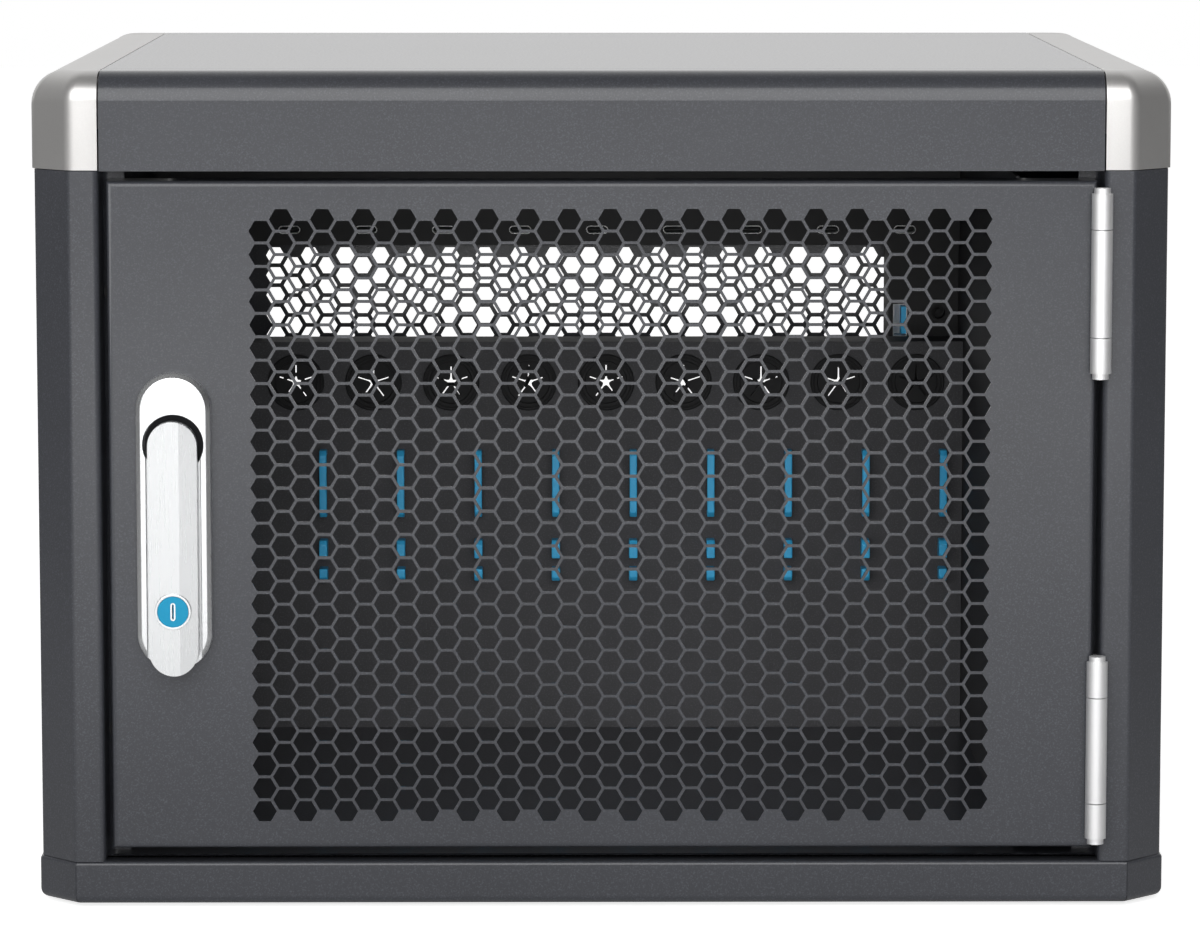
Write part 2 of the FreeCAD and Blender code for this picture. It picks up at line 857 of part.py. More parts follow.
def make_bridges():
    """Make the cable bridges: upright loops with bevelled corners that stand off the partition."""
    face = partition_front
    edge = face - s["bridge_proud"]
    low = floor_top + s["bridge_rise"] - s["bridge_height"] * HALF_SHARE
    high = low + s["bridge_height"]
    bevel = s["bridge_bevel"]
    skin = s["bridge_wall"]
    points = [
        (face, low), (edge + bevel, low), (edge, low + bevel), (edge, high - bevel), (edge + bevel, high),
        (face, high), (face, high - skin), (edge + skin, high - skin), (edge + skin, low + skin),
        (face, low + skin),
    ]
    bridge = Piece("bridge_blank")
    bridge.pad("X", -s["bridge_width"] * HALF_SHARE, s["bridge_width"], Outline(points))
    keep(row_of("cable_bridges", [(x, 0, 0) for x in bay_places(s["bridge_shift"])], bridge.body))


def make_clips():
    """Make the cable clips: an upper and a lower jaw, bevelled outside, with the cable's gap between them."""
    face = partition_front
    edge = face - s["clip_proud"]
    bevel = s["clip_bevel"]
    middle = floor_top + s["clip_rise"]
    mouth = s["clip_gap"] * HALF_SHARE
    jaws = []
    for name, sense in (("upper", 1), ("lower", -1)):
        near_z = middle + mouth * sense
        far_z = near_z + s[f"clip_{name}_jaw"] * sense
        jaw = Piece(f"{name}_jaw_blank")
        jaw.pad("X", -s["clip_width"] * HALF_SHARE, s["clip_width"], Outline([
            (face, near_z), (edge, near_z), (edge, far_z - bevel * sense), (edge + bevel, far_z), (face, far_z),
        ]))
        jaws.append(jaw.body)
    keep(row_of("cable_clips", [(x, 0, 0) for x in bay_places(s["bridge_shift"])], *jaws))


# Charger, side module and power

def make_duct_wall():
    """Make the wall beside the power compartment, with a foot folded along the floor."""
    high = charger_bottom + s["charger_height"]
    foot = duct_x + s["duct_foot"]
    start = front + s["duct_wall_set"]
    duct = Piece("duct_wall")
    duct.pad("Y", start, rear_inside - start, Outline([
        (duct_x, floor_top), (foot, floor_top), (foot, floor_top + wall), (duct_x + wall, floor_top + wall),
        (duct_x + wall, high), (duct_x, high),
    ]))
    duct.node()


def port_outline(x, z):
    """Return the outline of a lying port, with bevelled corners."""
    wide = s["port_width"] * HALF_SHARE
    tall = s["port_height"] * HALF_SHARE
    bevel = s["port_bevel"]
    corner = [(wide, tall - bevel), (wide - bevel, tall), (bevel - wide, tall), (-wide, tall - bevel)]
    ring = corner + [(-across, -up) for across, up in corner]
    return Outline([(x + across, z + up) for across, up in ring])


def make_charger():
    """Make the charger across the back of the chamber, with a row of USB-C ports in its face."""
    left = s["charger_gap"] - half
    port_z = floor_top + s["port_rise"]
    places = bay_places(bay_pitch * HALF_SHARE)
    charger = Piece("charger_housing")
    charger.pad(
        "Y", charger_front, rear_inside - charger_front,
        rectangle(left, duct_x - seam, charger_bottom, charger_bottom + s["charger_height"]),
    )
    ports = [port_outline(x, port_z) for x in places]
    charger.cut("Y", charger_front - over, s["port_depth"] + over, *ports)
    wide = s["port_tongue_width"] * HALF_SHARE
    tall = s["port_tongue"] * HALF_SHARE
    tongues = [rectangle(x - wide, x + wide, port_z - tall, port_z + tall) for x in places]
    charger.pad("Y", charger_front + s["port_tongue"], s["port_depth"], *tongues)
    charger.node()


def make_module():
    """Make the side module below the charger, with an upright USB-A socket and a power jack."""
    fit = s["port_fit"]
    socket_x = module_left + s["socket_inset"]
    socket_z = module_bottom + s["socket_rise"]
    jack = (module_left + s["jack_inset"], module_bottom + s["jack_rise"])
    wide = s["socket_width"] * HALF_SHARE
    tall = s["socket_height"] * HALF_SHARE
    module = Piece("side_module")
    module.pad(
        "Y", module_front, rear_inside - module_front,
        rectangle(module_left, duct_x - seam, module_bottom, charger_bottom),
    )
    module.cut(
        "Y", module_front - over, s["socket_depth"] + over,
        rectangle(socket_x - wide - fit, socket_x + wide + fit, socket_z - tall - fit, socket_z + tall + fit),
    )
    module.cut("Y", module_front - over, s["jack_depth"] + over, Ring(jack, s["jack_radius"] + fit))
    module.node()

    skin = s["socket_wall"]
    shell = Piece("socket_shell")
    shell.pad(
        "Y", module_front, s["socket_depth"],
        rectangle(socket_x - wide, socket_x + wide, socket_z - tall, socket_z + tall),
    )
    shell.cut(
        "Y", module_front - over, s["socket_depth"] - skin + over,
        rectangle(socket_x - wide + skin, socket_x + wide - skin, socket_z - tall + skin, socket_z + tall - skin),
    )
    shell.node()
    tongue = Piece("socket_tongue")
    reach = s["tongue_height"] * HALF_SHARE
    right = socket_x + wide - skin
    tongue.pad(
        "Y", module_front + skin, s["socket_depth"] - skin * 2,
        rectangle(right - s["tongue_thick"], right, socket_z - reach, socket_z + reach),
    )
    tongue.node()
    plug = Piece("power_jack")
    plug.pad("Y", module_front, s["jack_depth"], Ring(jack, s["jack_radius"]))
    bore_depth = s["jack_depth"] - s["jack_floor"]
    plug.cut("Y", module_front - over, bore_depth + over, Ring(jack, s["jack_bore_radius"]))
    pin_length = bore_depth + s["jack_floor"] * HALF_SHARE - s["jack_floor"]
    plug.pad("Y", module_front + s["jack_floor"], pin_length, Ring(jack, s["jack_pin_radius"]))
    plug.node()


def make_supply():
    """Make the power supply that stands in the side compartment."""
    left = duct_x + s["duct_foot"] + seam
    supply = Piece("power_supply")
    near_y = front + s["supply_set"]
    supply.pad(
        "Z", floor_top, s["supply_height"],
        rectangle(left, left + s["supply_width"], near_y, near_y + s["supply_depth"]),
    )
    high = floor_top + s["supply_height"]
    supply.round_edges(s["supply_rounding"], lambda point: on(point.z, high))
    supply.node()


def make_inlet():
    """Make the power inlet in the rear panel: a flanged cup with three flat pins."""
    x = inlet_x
    z = floor_top + s["inlet_rise"]
    wide = s["inlet_width"] * HALF_SHARE
    tall = s["inlet_height"] * HALF_SHARE
    margin = s["inlet_flange_margin"]
    inlet = Piece("power_inlet")
    inlet.pad(
        "Y", rear_face, s["inlet_flange"],
        rectangle(x - wide - margin, x + wide + margin, z - tall - margin, z + tall + margin),
    )
    inlet.pad(
        "Y", rear_face - s["inlet_depth"], s["inlet_depth"], rectangle(x - wide, x + wide, z - tall, z + tall)
    )
    cup_floor = rear_face + s["inlet_flange"] - s["inlet_recess_depth"]
    cup_wide = s["inlet_recess_width"] * HALF_SHARE
    cup_tall = s["inlet_recess_height"] * HALF_SHARE
    inlet.cut(
        "Y", cup_floor, s["inlet_recess_depth"] + over,
        rectangle(x - cup_wide, x + cup_wide, z - cup_tall, z + cup_tall),
    )
    inlet.node()
    pin = Piece("inlet_pin_blank")
    pin_wide = s["inlet_pin_height"] * HALF_SHARE
    pin_tall = s["inlet_pin_width"] * HALF_SHARE
    pin.pad("Y", cup_floor, s["inlet_pin_length"], rectangle(x - pin_wide, x + pin_wide, z - pin_tall, z + pin_tall))
    spread = s["inlet_pin_spread"]
    stagger = s["inlet_pin_stagger"]
    keep(row_of("inlet_pins", [(-stagger, 0, spread), (-stagger, 0, -spread), (stagger, 0, 0)], pin.body))


def make_switch():
    """Make the rocker switch: a bezel in the rear panel and the rocker that tilts in it."""
    x = inlet_x
    z = floor_top + s["switch_rise"]
    wide = s["switch_width"] * HALF_SHARE
    tall = s["switch_height"] * HALF_SHARE
    margin = s["inlet_flange_margin"]
    skin = s["switch_wall"]
    bezel = Piece("switch_bezel")
    bezel.pad(
        "Y", rear_face, s["inlet_flange"],
        rectangle(x - wide - margin, x + wide + margin, z - tall - margin, z + tall + margin),
    )
    bezel.pad(
        "Y", rear_face - s["switch_depth"], s["switch_depth"], rectangle(x - wide, x + wide, z - tall, z + tall)
    )
    bezel.cut(
        "Y", rear_face - s["switch_depth"] + skin, s["switch_depth"] + s["inlet_flange"] + over,
        rectangle(x - wide + skin, x + wide - skin, z - tall + skin, z + tall - skin),
    )
    bezel.node()
    tilt = math.radians(ROCKER_TILT_DEGREES)
    reach = tall - skin - s["rocker_clearance"]
    high = s["rocker_face"]
    profile = [
        (high, -reach * ROCKER_FACE_SHARE), (high * ROCKER_DIP_SHARE, 0), (high, reach * ROCKER_FACE_SHARE),
        (-high, reach * ROCKER_FOOT_SHARE), (-high, -reach * ROCKER_FOOT_SHARE),
    ]
    points = [
        (
            rocker_y + (Size.of(y) * math.cos(tilt) - Size.of(rise) * math.sin(tilt)),
            z + (Size.of(y) * math.sin(tilt) + Size.of(rise) * math.cos(tilt)),
        )
        for y, rise in profile
    ]
    rocker = Piece("power_rocker")
    rocker_wide = wide - skin - s["rocker_clearance"]
    rocker.pad("X", x - rocker_wide, rocker_wide * 2, Outline(points))
    rocker.node()


# Door

def make_door_panel():
    """Make the door: a shallow folded tray whose face is perforated with hexagons."""
    middle_z = (door_bottom + door_top) * HALF_SHARE
    corner = s["grille_hole"] * HEX_CORNER_SHARE
    field_x = (s["grille_columns"] - 1) * column_pitch * HALF_SHARE + corner + s["grille_border"]
    field_z = (
        (s["grille_rows"] - HALF_SHARE) * s["grille_row_pitch"] + s["grille_hole"]
    ) * HALF_SHARE + s["grille_border"]
    shift = s["grille_shift"]
    field = (shift - field_x, shift + field_x, middle_z - field_z, middle_z + field_z)
    tray = Piece("door_tray")
    tray.pad("Y", front, s["door_depth"], rectangle(-door_half, door_half, door_bottom, door_top))
    tray.round_edges(s["door_bend"], lambda point: on(point.y, front))
    tray.cut(
        "Y", door_inside, s["door_depth"],
        rectangle(wall - door_half, door_half - wall, door_bottom + wall, door_top - wall),
    )
    tray.cut("Y", front - over, wall + over * 2, rectangle(*field))
    bore = s["spindle_radius"] + s["door_hole_margin"]
    tray.cut("Y", front - over, wall + over * 2, Ring((handle_x, pivot_z), bore))
    holes = hexagons(shift, middle_z, s["grille_rows"])
    grille = shape_piece("door_grille", holed_sheet(upright_wire(*field), holes, front, wall))
    keep(joined("Part::MultiFuse", "door_panel", tray.body, grille))


def make_bumpers():
    """Make the rubber bumpers on the stop lip, which the closed door's edge meets."""
    start = door_back + seam
    length = front + s["jamb_depth"] - start
    x = wall * HALF_SHARE - door_half
    bumper = cylinder("bumper_blank", "Y", start, length, (x, 0), s["bumper_radius"])
    inset = s["bumper_inset"]
    keep(row_of("door_bumpers", [(0, 0, door_bottom + inset), (0, 0, door_top - inset)], bumper))


# Hinges

def make_hinge_leaf(label, left, knuckles, low, high):
    """Make a hinge leaf: a plate in the door gap with barrels rolled at its own knuckles."""
    axis = (hinge_x, hinge_y)
    near_y = front + s["hinge_tail"]
    right = left + s["hinge_leaf"]
    leaf = Piece(label)
    leaf.pad("Z", low, high - low, rectangle(left, right, near_y, near_y + s["hinge_leaf_reach"]))
    for start, length in knuckles:
        leaf.pad("Z", start, length, rectangle(left, right, hinge_y, near_y))
        leaf.pad("Z", start, length, Ring(axis, s["hinge_radius"]))
    bore = s["hinge_pin_radius"] + s["pin_clearance"]
    leaf.cut("Z", low - over, high - low + over * 2, Ring(axis, bore))
    leaf.node()


def make_hinges():
    """Make both hinges, with three knuckles each: the ends on the frame and the middle on the door."""
    end = s["knuckle_end"]
    gap = s["knuckle_gap"]
    reach = s["knuckle_middle"] * HALF_SHARE
    tall = reach + gap + end
    middles = {"upper": door_top - s["hinge_inset"], "lower": door_bottom + s["hinge_inset"]}
    for name, middle in middles.items():
        ends = [(middle - tall, end), (middle + reach + gap, end)]
        frame_left = jamb - s["hinge_leaf"]
        make_hinge_leaf(f"{name}_hinge_frame_leaf", frame_left, ends, middle - tall, middle + tall)
        own = [(middle - reach, s["knuckle_middle"])]
        make_hinge_leaf(f"{name}_hinge_door_leaf", door_half, own, middle - tall, middle + tall)
    pin = Piece("hinge_pin_blank")
    axis = (hinge_x, hinge_y)
    pin.pad("Z", -tall, tall * 2, Ring(axis, s["hinge_pin_radius"]))
    pin.pad("Z", tall, s["pin_head_height"], Ring(axis, s["pin_head_radius"]))
    pin.pad("Z", -tall - s["pin_head_height"], s["pin_head_height"], Ring(axis, s["pin_head_radius"]))
    keep(row_of("hinge_pins", [(0, 0, middle) for middle in middles.values()], pin.body))


# Handle and lock

def make_handle_plate():
    """Make the handle plate: a round pocket for the lever's pivot and a groove under the lever."""
    middle = pivot_z + s["plate_rise"] - s["plate_height"] * HALF_SHARE
    plate_bottom = middle - s["plate_height"] * HALF_SHARE
    groove = s["lever_width"] * HALF_SHARE + s["groove_margin"]
    plate = Piece("handle_plate")
    plate.pad("Y", plate_face, s["plate_thick"], stadium(handle_x, middle, s["plate_width"], s["plate_height"]))
    plate.bevel_edges(s["plate_bevel"], lambda point: on(point.y, plate_face))
    plate.cut("Y", plate_face - over, s["plate_thick"] + over * 2, Ring((handle_x, pivot_z), s["pocket_radius"]))
    plate.cut(
        "Y", plate_face - over, s["groove_depth"] + over,
        rectangle(handle_x - groove, handle_x + groove, plate_bottom - over, pivot_z),
    )
    plate.node()


def make_lock_housing():
    """Make the clamp plate and spindle boss behind the door."""
    middle = pivot_z - s["housing_drop"]
    face = door_inside + s["housing_plate"]
    housing = Piece("lock_housing")
    wide = s["housing_plate_width"] * HALF_SHARE
    tall = s["housing_plate_height"] * HALF_SHARE
    housing.pad(
        "Y", door_inside, s["housing_plate"],
        rectangle(handle_x - wide, handle_x + wide, middle - tall, middle + tall),
    )
    boss_end = front + s["cam_stand"] - seam
    housing.pad("Y", face, boss_end - face, Ring((handle_x, pivot_z), s["boss_radius"]))
    bore = s["spindle_radius"] + s["pin_clearance"]
    housing.cut("Y", door_inside - over, s["cam_stand"] + over, Ring((handle_x, pivot_z), bore))
    housing.node()


def make_spindle():
    """Make the spindle: a flange in the plate's pocket, a knuckle for the lever and a shaft to the cam."""
    axis = (handle_x, pivot_z)
    flange_back = front - s["pin_clearance"]
    flange_face = flange_back - s["spindle_flange"]
    cam_face = front + s["cam_stand"]
    wide = s["knuckle_width"] * HALF_SHARE
    neck = s["knuckle_neck"] * HALF_SHARE
    spindle = Piece("spindle")
    spindle.pad("Y", flange_face, s["spindle_flange"], Ring(axis, s["spindle_flange_radius"]))
    spindle.pad("Y", flange_back, cam_face - flange_back, Ring(axis, s["spindle_radius"]))
    stub = s["spindle_stub"] * HALF_SHARE
    spindle.pad(
        "Y", cam_face, s["cam_thick"],
        rectangle(handle_x - stub, handle_x + stub, pivot_z - stub, pivot_z + stub),
    )
    spindle.pad(
        "Y", pivot_y, flange_face - pivot_y,
        rectangle(handle_x - wide, handle_x + wide, pivot_z - neck, pivot_z + neck),
    )
    spindle.pad("X", handle_x - wide, s["knuckle_width"], Ring((pivot_y, pivot_z), s["knuckle_radius"]))
    pin_bore = s["lever_pin_radius"] + s["pin_clearance"]
    spindle.cut("X", handle_x - wide - over, s["knuckle_width"] + over * 2, Ring((pivot_y, pivot_z), pin_bore))
    spindle.node()


def make_cam():
    """Make the cam that turns behind the stop lip."""
    face = front + s["cam_stand"]
    tail = s["cam_width"] * HALF_SHARE
    middle = pivot_z + (s["cam_length"] - tail) * HALF_SHARE
    cam = Piece("cam_latch")
    cam.pad("Y", face, s["cam_thick"], stadium(handle_x, middle, s["cam_width"], s["cam_length"] + tail))
    bore = s["spindle_stub"] * HALF_SHARE + s["pin_clearance"]
    cam.cut(
        "Y", face - over, s["cam_thick"] + over * 2,
        rectangle(handle_x - bore, handle_x + bore, pivot_z - bore, pivot_z + bore),
    )
    cam.node()


def make_lever():
    """Make the lever, a bar with round ends and a sloped face, and the pin that it lifts about."""
    reach = s["lever_width"] * HALF_SHARE
    middle = pivot_z - (s["lever_length"] - s["lever_width"]) * HALF_SHARE
    highest = lever_under - s["lever_crest"]
    blank = Piece("lever_blank")
    blank.pad("Y", highest, s["lever_crest"], stadium(handle_x, middle, s["lever_width"], s["lever_length"]))
    slot_reach = s["knuckle_width"] * HALF_SHARE + s["knuckle_clearance"]
    slot_tall = s["lever_slot_length"] * HALF_SHARE
    slot_deep = s["lever_pin_rise"] + s["knuckle_radius"] + s["knuckle_clearance"]
    blank.cut(
        "Y", lever_under - slot_deep, slot_deep + over,
        rectangle(handle_x - slot_reach, handle_x + slot_reach, pivot_z - slot_tall, pivot_z + slot_tall),
    )
    pin_start = handle_x - s["lever_pin_length"] * HALF_SHARE
    clearance = s["pin_clearance"]
    pin_bore = Ring((pivot_y, pivot_z), s["lever_pin_radius"] + clearance)
    blank.cut("X", pin_start - clearance, s["lever_pin_length"] + clearance * 2, pin_bore)
    blank.cut("Y", highest - over, s["lever_crest"] + over * 2, Ring((handle_x, lock_z), s["lock_radius"]))
    roof = Piece("lever_roof")
    shoulder = lever_under - s["lever_edge"]
    roof.pad(
        "Z", middle - s["lever_length"], s["lever_length"] * 2,
        Outline([
            (handle_x - reach, lever_under), (handle_x + reach, lever_under), (handle_x + reach, shoulder),
            (handle_x + s["crest_shift"], highest), (handle_x - reach, shoulder),
        ]),
    )
    keep(joined("Part::MultiCommon", "handle_lever", blank.body, roof.body))
    keep(cylinder("lever_pin", "X", pin_start, s["lever_pin_length"], (pivot_y, pivot_z), s["lever_pin_radius"]))


def make_lock():
    """Make the lock barrel in the lever and the key core that turns in it."""
    axis = (handle_x, lock_z)
    face = lever_under - s["lever_crest"] - s["lock_proud"]
    length = lever_under - face
    barrel = Piece("lock_barrel")
    barrel.pad("Y", face, length, Ring(axis, s["lock_radius"] - s["pin_clearance"]))
    bore = s["lock_radius"] - s["lock_wall"]
    barrel.cut("Y", face - over, length - s["lock_floor"] + over, Ring(axis, bore))
    barrel.node()
    core_length = length - s["lock_floor"] - s["pin_clearance"]
    keyway = stadium(handle_x, lock_z, s["keyway_width"], s["keyway_height"])
    core = Piece("key_core")
    core.pad("Y", face, core_length, Ring(axis, bore - s["pin_clearance"]))
    core.cut("Y", face - over, s["keyway_depth"] + over, keyway)
    core.node()


# Assembly

def make_cabinet():
    """Make every piece of the cabinet."""
    make_base()
    make_side_panel("left_side_panel", -1)
    make_side_panel("right_side_panel", 1)
    make_crown()
    make_rear_panel()
    make_partition()
    make_grommets()
    make_bridges()
    make_clips()
    make_duct_wall()
    make_charger()
    make_module()
    make_supply()
    make_inlet()
    make_switch()
    make_door_panel()
    make_bumpers()
    make_hinges()
    make_handle_plate()
    make_lock_housing()
    make_spindle()
    make_cam()
    make_lever()
    make_lock()


def check_document():
    """Stop if any object of the document failed or any piece is not a sound solid."""
    for item in doc.Objects:
        if {"Invalid", "Error"} & set(item.State):
            raise RuntimeError(f"{item.Label} failed: {item.State}")
    for item in nodes:
        if item.Shape.isNull() or not item.Shape.isValid() or not item.Shape.Solids:
            raise RuntimeError(f"{item.Label} is not a sound solid")


def write_parts():
    """Write each piece to a file with its own name."""
    os.makedirs("parts", exist_ok=True)
    for item in nodes:
        item.Shape.exportStep(f"parts/{item.Label}.step")


make_cabinet()
doc.recompute()
check_document()
write_parts()
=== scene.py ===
"""Looks of a desktop charging cabinet with a perforated door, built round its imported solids.

Lengths in the classes are millimetres in the frame of the solids: X to the right, Y to the back, Z up.
Meshes are written in metres.
"""

import json
import logging
import math
from dataclasses import dataclass
from enum import Enum

import bmesh
import bpy
import numpy as np
from mathutils import Euler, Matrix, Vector
from mathutils.geometry import tessellate_polygon


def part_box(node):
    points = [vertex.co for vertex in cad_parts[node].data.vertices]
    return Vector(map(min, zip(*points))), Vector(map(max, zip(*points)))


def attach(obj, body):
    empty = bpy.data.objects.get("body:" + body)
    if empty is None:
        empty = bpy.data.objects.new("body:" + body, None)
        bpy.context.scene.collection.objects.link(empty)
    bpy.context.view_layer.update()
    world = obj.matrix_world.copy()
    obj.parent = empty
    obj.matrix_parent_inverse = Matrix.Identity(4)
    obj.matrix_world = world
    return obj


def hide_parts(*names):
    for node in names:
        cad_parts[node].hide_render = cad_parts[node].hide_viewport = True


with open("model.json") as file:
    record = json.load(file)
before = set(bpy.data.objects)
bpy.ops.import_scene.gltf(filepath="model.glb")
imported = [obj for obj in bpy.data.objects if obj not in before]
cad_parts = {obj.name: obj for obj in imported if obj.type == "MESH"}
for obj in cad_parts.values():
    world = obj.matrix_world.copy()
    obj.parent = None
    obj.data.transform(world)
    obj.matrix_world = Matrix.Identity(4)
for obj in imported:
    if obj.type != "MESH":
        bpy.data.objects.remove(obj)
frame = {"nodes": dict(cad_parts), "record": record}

log = logging.getLogger("cabinet")

MILLI = 0.001
WELD_GAP = 0.00001
CREASE = math.radians(35.0)
BEND_STEPS = 7


class Body(Enum):
    """The moving bodies of the cabinet."""

    CABINET = "cabinet"
    DOOR = "door"
    LEVER = "lever"
    KEY = "key"


class Slot(Enum):
    """The material slots of the record."""

    SHELL = "dark_shell"
    TRIM = "silver_trim"
    INNER = "inner_sheet"
    RUBBER = "rubber"
    BLUE = "blue_plastic"
    BLACK = "black_plastic"
    ZINC = "bright_zinc"
    HANDLE = "handle_chrome"
    KEY = "key_face"
    STEEL = "black_steel"


# Shader maths


class Value:
    """A shader socket that takes part in Python arithmetic."""

    def __init__(self, graph: "Graph", socket: bpy.types.NodeSocket) -> None:
        """Keep the socket and the graph that it belongs to."""
        self.graph = graph
        self.socket = socket

    def _math(self, operation: str, first: "Value | float", second: "Value | float") -> "Value":
        """Add one Math node.

        Args:
            operation: the Math node's operation.
            first: its first value.
            second: its second value.

        Returns:
            The node's result.
        """
        return self.graph.add("ShaderNodeMath", {"operation": operation}, {0: first, 1: second})

    def __add__(self, other: "Value | float") -> "Value":
        """Return self + other."""
        return self._math("ADD", self, other)

    __radd__ = __add__

    def __sub__(self, other: "Value | float") -> "Value":
        """Return self - other."""
        return self._math("SUBTRACT", self, other)

    def __rsub__(self, other: "Value | float") -> "Value":
        """Return other - self."""
        return self._math("SUBTRACT", other, self)

    def __mul__(self, other: "Value | float") -> "Value":
        """Return self * other."""
        return self._math("MULTIPLY", self, other)

    __rmul__ = __mul__


class Graph:
    """A shader node tree, of a material or of the world."""

    def __init__(self, tree: bpy.types.NodeTree, coordinates: str) -> None:
        """Empty the tree and read one kind of texture coordinate."""
        self.tree = tree
        self.tree.nodes.clear()
        self.place = self.add("ShaderNodeTexCoord", {}, {}, coordinates)

    def feed(self, socket: bpy.types.NodeSocket, value: object) -> None:
        """Link a Value to a socket, or set a plain value on it."""
        if isinstance(value, Value):
            self.tree.links.new(value.socket, socket)
        else:
            socket.default_value = value

    def add(self, kind: str, settings: dict, inputs: dict, output: "str | int" = 0) -> Value:
        """Add a node.

        Args:
            kind: the node's type.
            settings: its own properties, which are set first.
            inputs: what each socket gets, by name or number.
            output: the socket to return.

        Returns:
            The chosen output.
        """
        node = self.tree.nodes.new(kind)
        for name, setting in settings.items():
            setattr(node, name, setting)
        for key, value in inputs.items():
            self.feed(node.inputs[key], value)
        return Value(self, node.outputs[output])

    def axis(self, name: str) -> Value:
        """Return one of the texture coordinates."""
        return self.add("ShaderNodeSeparateXYZ", {}, {"Vector": self.place}, name)

    def ray(self, kind: str) -> Value:
        """Return 1 for rays of a kind, else 0."""
        return self.add("ShaderNodeLightPath", {}, {}, f"Is {kind} Ray")

    def span(self, value: Value, low: float, high: float) -> Value:
        """Return value spread so that low becomes 0 and high becomes 1, held to that span."""
        inputs = {"Value": value, "From Min": low, "From Max": high}
        return self.add("ShaderNodeMapRange", {"clamp": True}, inputs)


class Coating(Graph):
    """The node tree of one material, with its Principled shader."""

    def __init__(self, name: str) -> None:
        """Make a material with a shader and an output."""
        self.material = bpy.data.materials.new(name)
        self.material.use_nodes = True
        super().__init__(self.material.node_tree, "Object")
        self.shader = self.tree.nodes.new("ShaderNodeBsdfPrincipled")
        output = self.tree.nodes.new("ShaderNodeOutputMaterial")
        self.tree.links.new(self.shader.outputs[0], output.inputs["Surface"])

    def noise(self, per_metre: float, detail: float = 2.0, roughness: float = 0.5) -> Value:
        """Return a noise in object space with about that many spots per metre."""
        inputs = {"Vector": self.place, "Scale": per_metre, "Detail": detail, "Roughness": roughness}
        return self.add("ShaderNodeTexNoise", {"noise_dimensions": "3D"}, inputs, "Fac")

    def stretched(self, scale: tuple[float, float, float]) -> Value:
        """Return the object coordinates scaled along each axis."""
        return self.add("ShaderNodeMapping", {"vector_type": "POINT"}, {"Vector": self.place, "Scale": scale})

    def blend(self, share: Value, first: tuple, second: tuple) -> Value:
        """Return a colour between two colours."""
        settings = {"data_type": "RGBA", "clamp_factor": True}
        inputs = {0: share, 6: (*first, 1.0), 7: (*second, 1.0)}
        return self.add("ShaderNodeMix", settings, inputs, 2)

    def bump(self, height: Value, strength: float, depth: float) -> None:
        """Raise the surface by a height map, depth metres deep."""
        inputs = {"Height": height, "Strength": strength, "Distance": depth}
        self.feed(self.shader.inputs["Normal"], self.add("ShaderNodeBump", {}, inputs))

    def set(self, **sockets: object) -> None:
        """Set or link sockets of the shader, named with underscores for spaces."""
        for name, value in sockets.items():
            self.feed(self.shader.inputs[name.replace("_", " ")], value)


# Finishes


def tone(colour: tuple[float, float, float], factor: float) -> tuple[float, float, float]:
    """Return a colour made lighter or darker by a factor."""
    return tuple(min(channel * factor, 1.0) for channel in colour)


@dataclass(frozen=True)
class Finish:
    """What all finishes have.

    Attributes:
        name: the material's name.
        colour: its mean colour, linear.
        roughness: its mean roughness.
    """

    name: str
    colour: tuple[float, float, float]
    roughness: float

    def shades(self, graph: Coating, share: Value, dark: float, light: float) -> Value:
        """Return the colour, from a darker to a lighter tone by a share."""
        return graph.blend(share, tone(self.colour, dark), tone(self.colour, light))


@dataclass(frozen=True)
class PowderCoat(Finish):
    """A powder coat with a fine orange-peel grain and pale flecks.

    Attributes:
        coat: weight of the clear gloss over it.
        grain: grains per metre.
        relief: the grain's depth in metres.
    """

    coat: float = 0.0
    grain: float = 1000.0
    relief: float = 0.00008

    def material(self) -> bpy.types.Material:
        """Return the material: grain sets bump and gloss, flecks and drift set the colour."""
        graph = Coating(self.name)
        grain = graph.noise(self.grain, 3.0, 0.6)
        drift = graph.noise(9.0, 2.0)
        flecks = graph.span(graph.noise(self.grain * 1.7, 1.0), 0.52, 0.72)
        share = flecks * 0.6 + drift * 0.4
        graph.set(
            Base_Color=self.shades(graph, share, 0.72, 1.6),
            Roughness=grain * 0.16 + (self.roughness - 0.08),
            Coat_Weight=self.coat,
            Coat_Roughness=0.16,
            Specular_IOR_Level=0.32,
        )
        graph.bump(grain, 0.5, self.relief)
        return graph.material


@dataclass(frozen=True)
class SatinPaint(Finish):
    """A silver paint whose flakes glint.

    Attributes:
        metallic: how much of it is flake.
    """

    metallic: float

    def material(self) -> bpy.types.Material:
        """Return the material: fine flakes vary the colour and gloss, a slow drift the tone."""
        graph = Coating(self.name)
        flakes = graph.noise(2600.0, 1.0)
        drift = graph.noise(14.0, 2.0)
        share = flakes * 0.5 + drift * 0.5
        graph.set(
            Base_Color=self.shades(graph, share, 0.9, 1.1),
            Roughness=flakes * 0.12 + (self.roughness - 0.06),
            Metallic=self.metallic,
        )
        graph.bump(flakes, 0.15, 0.00002)
        return graph.material


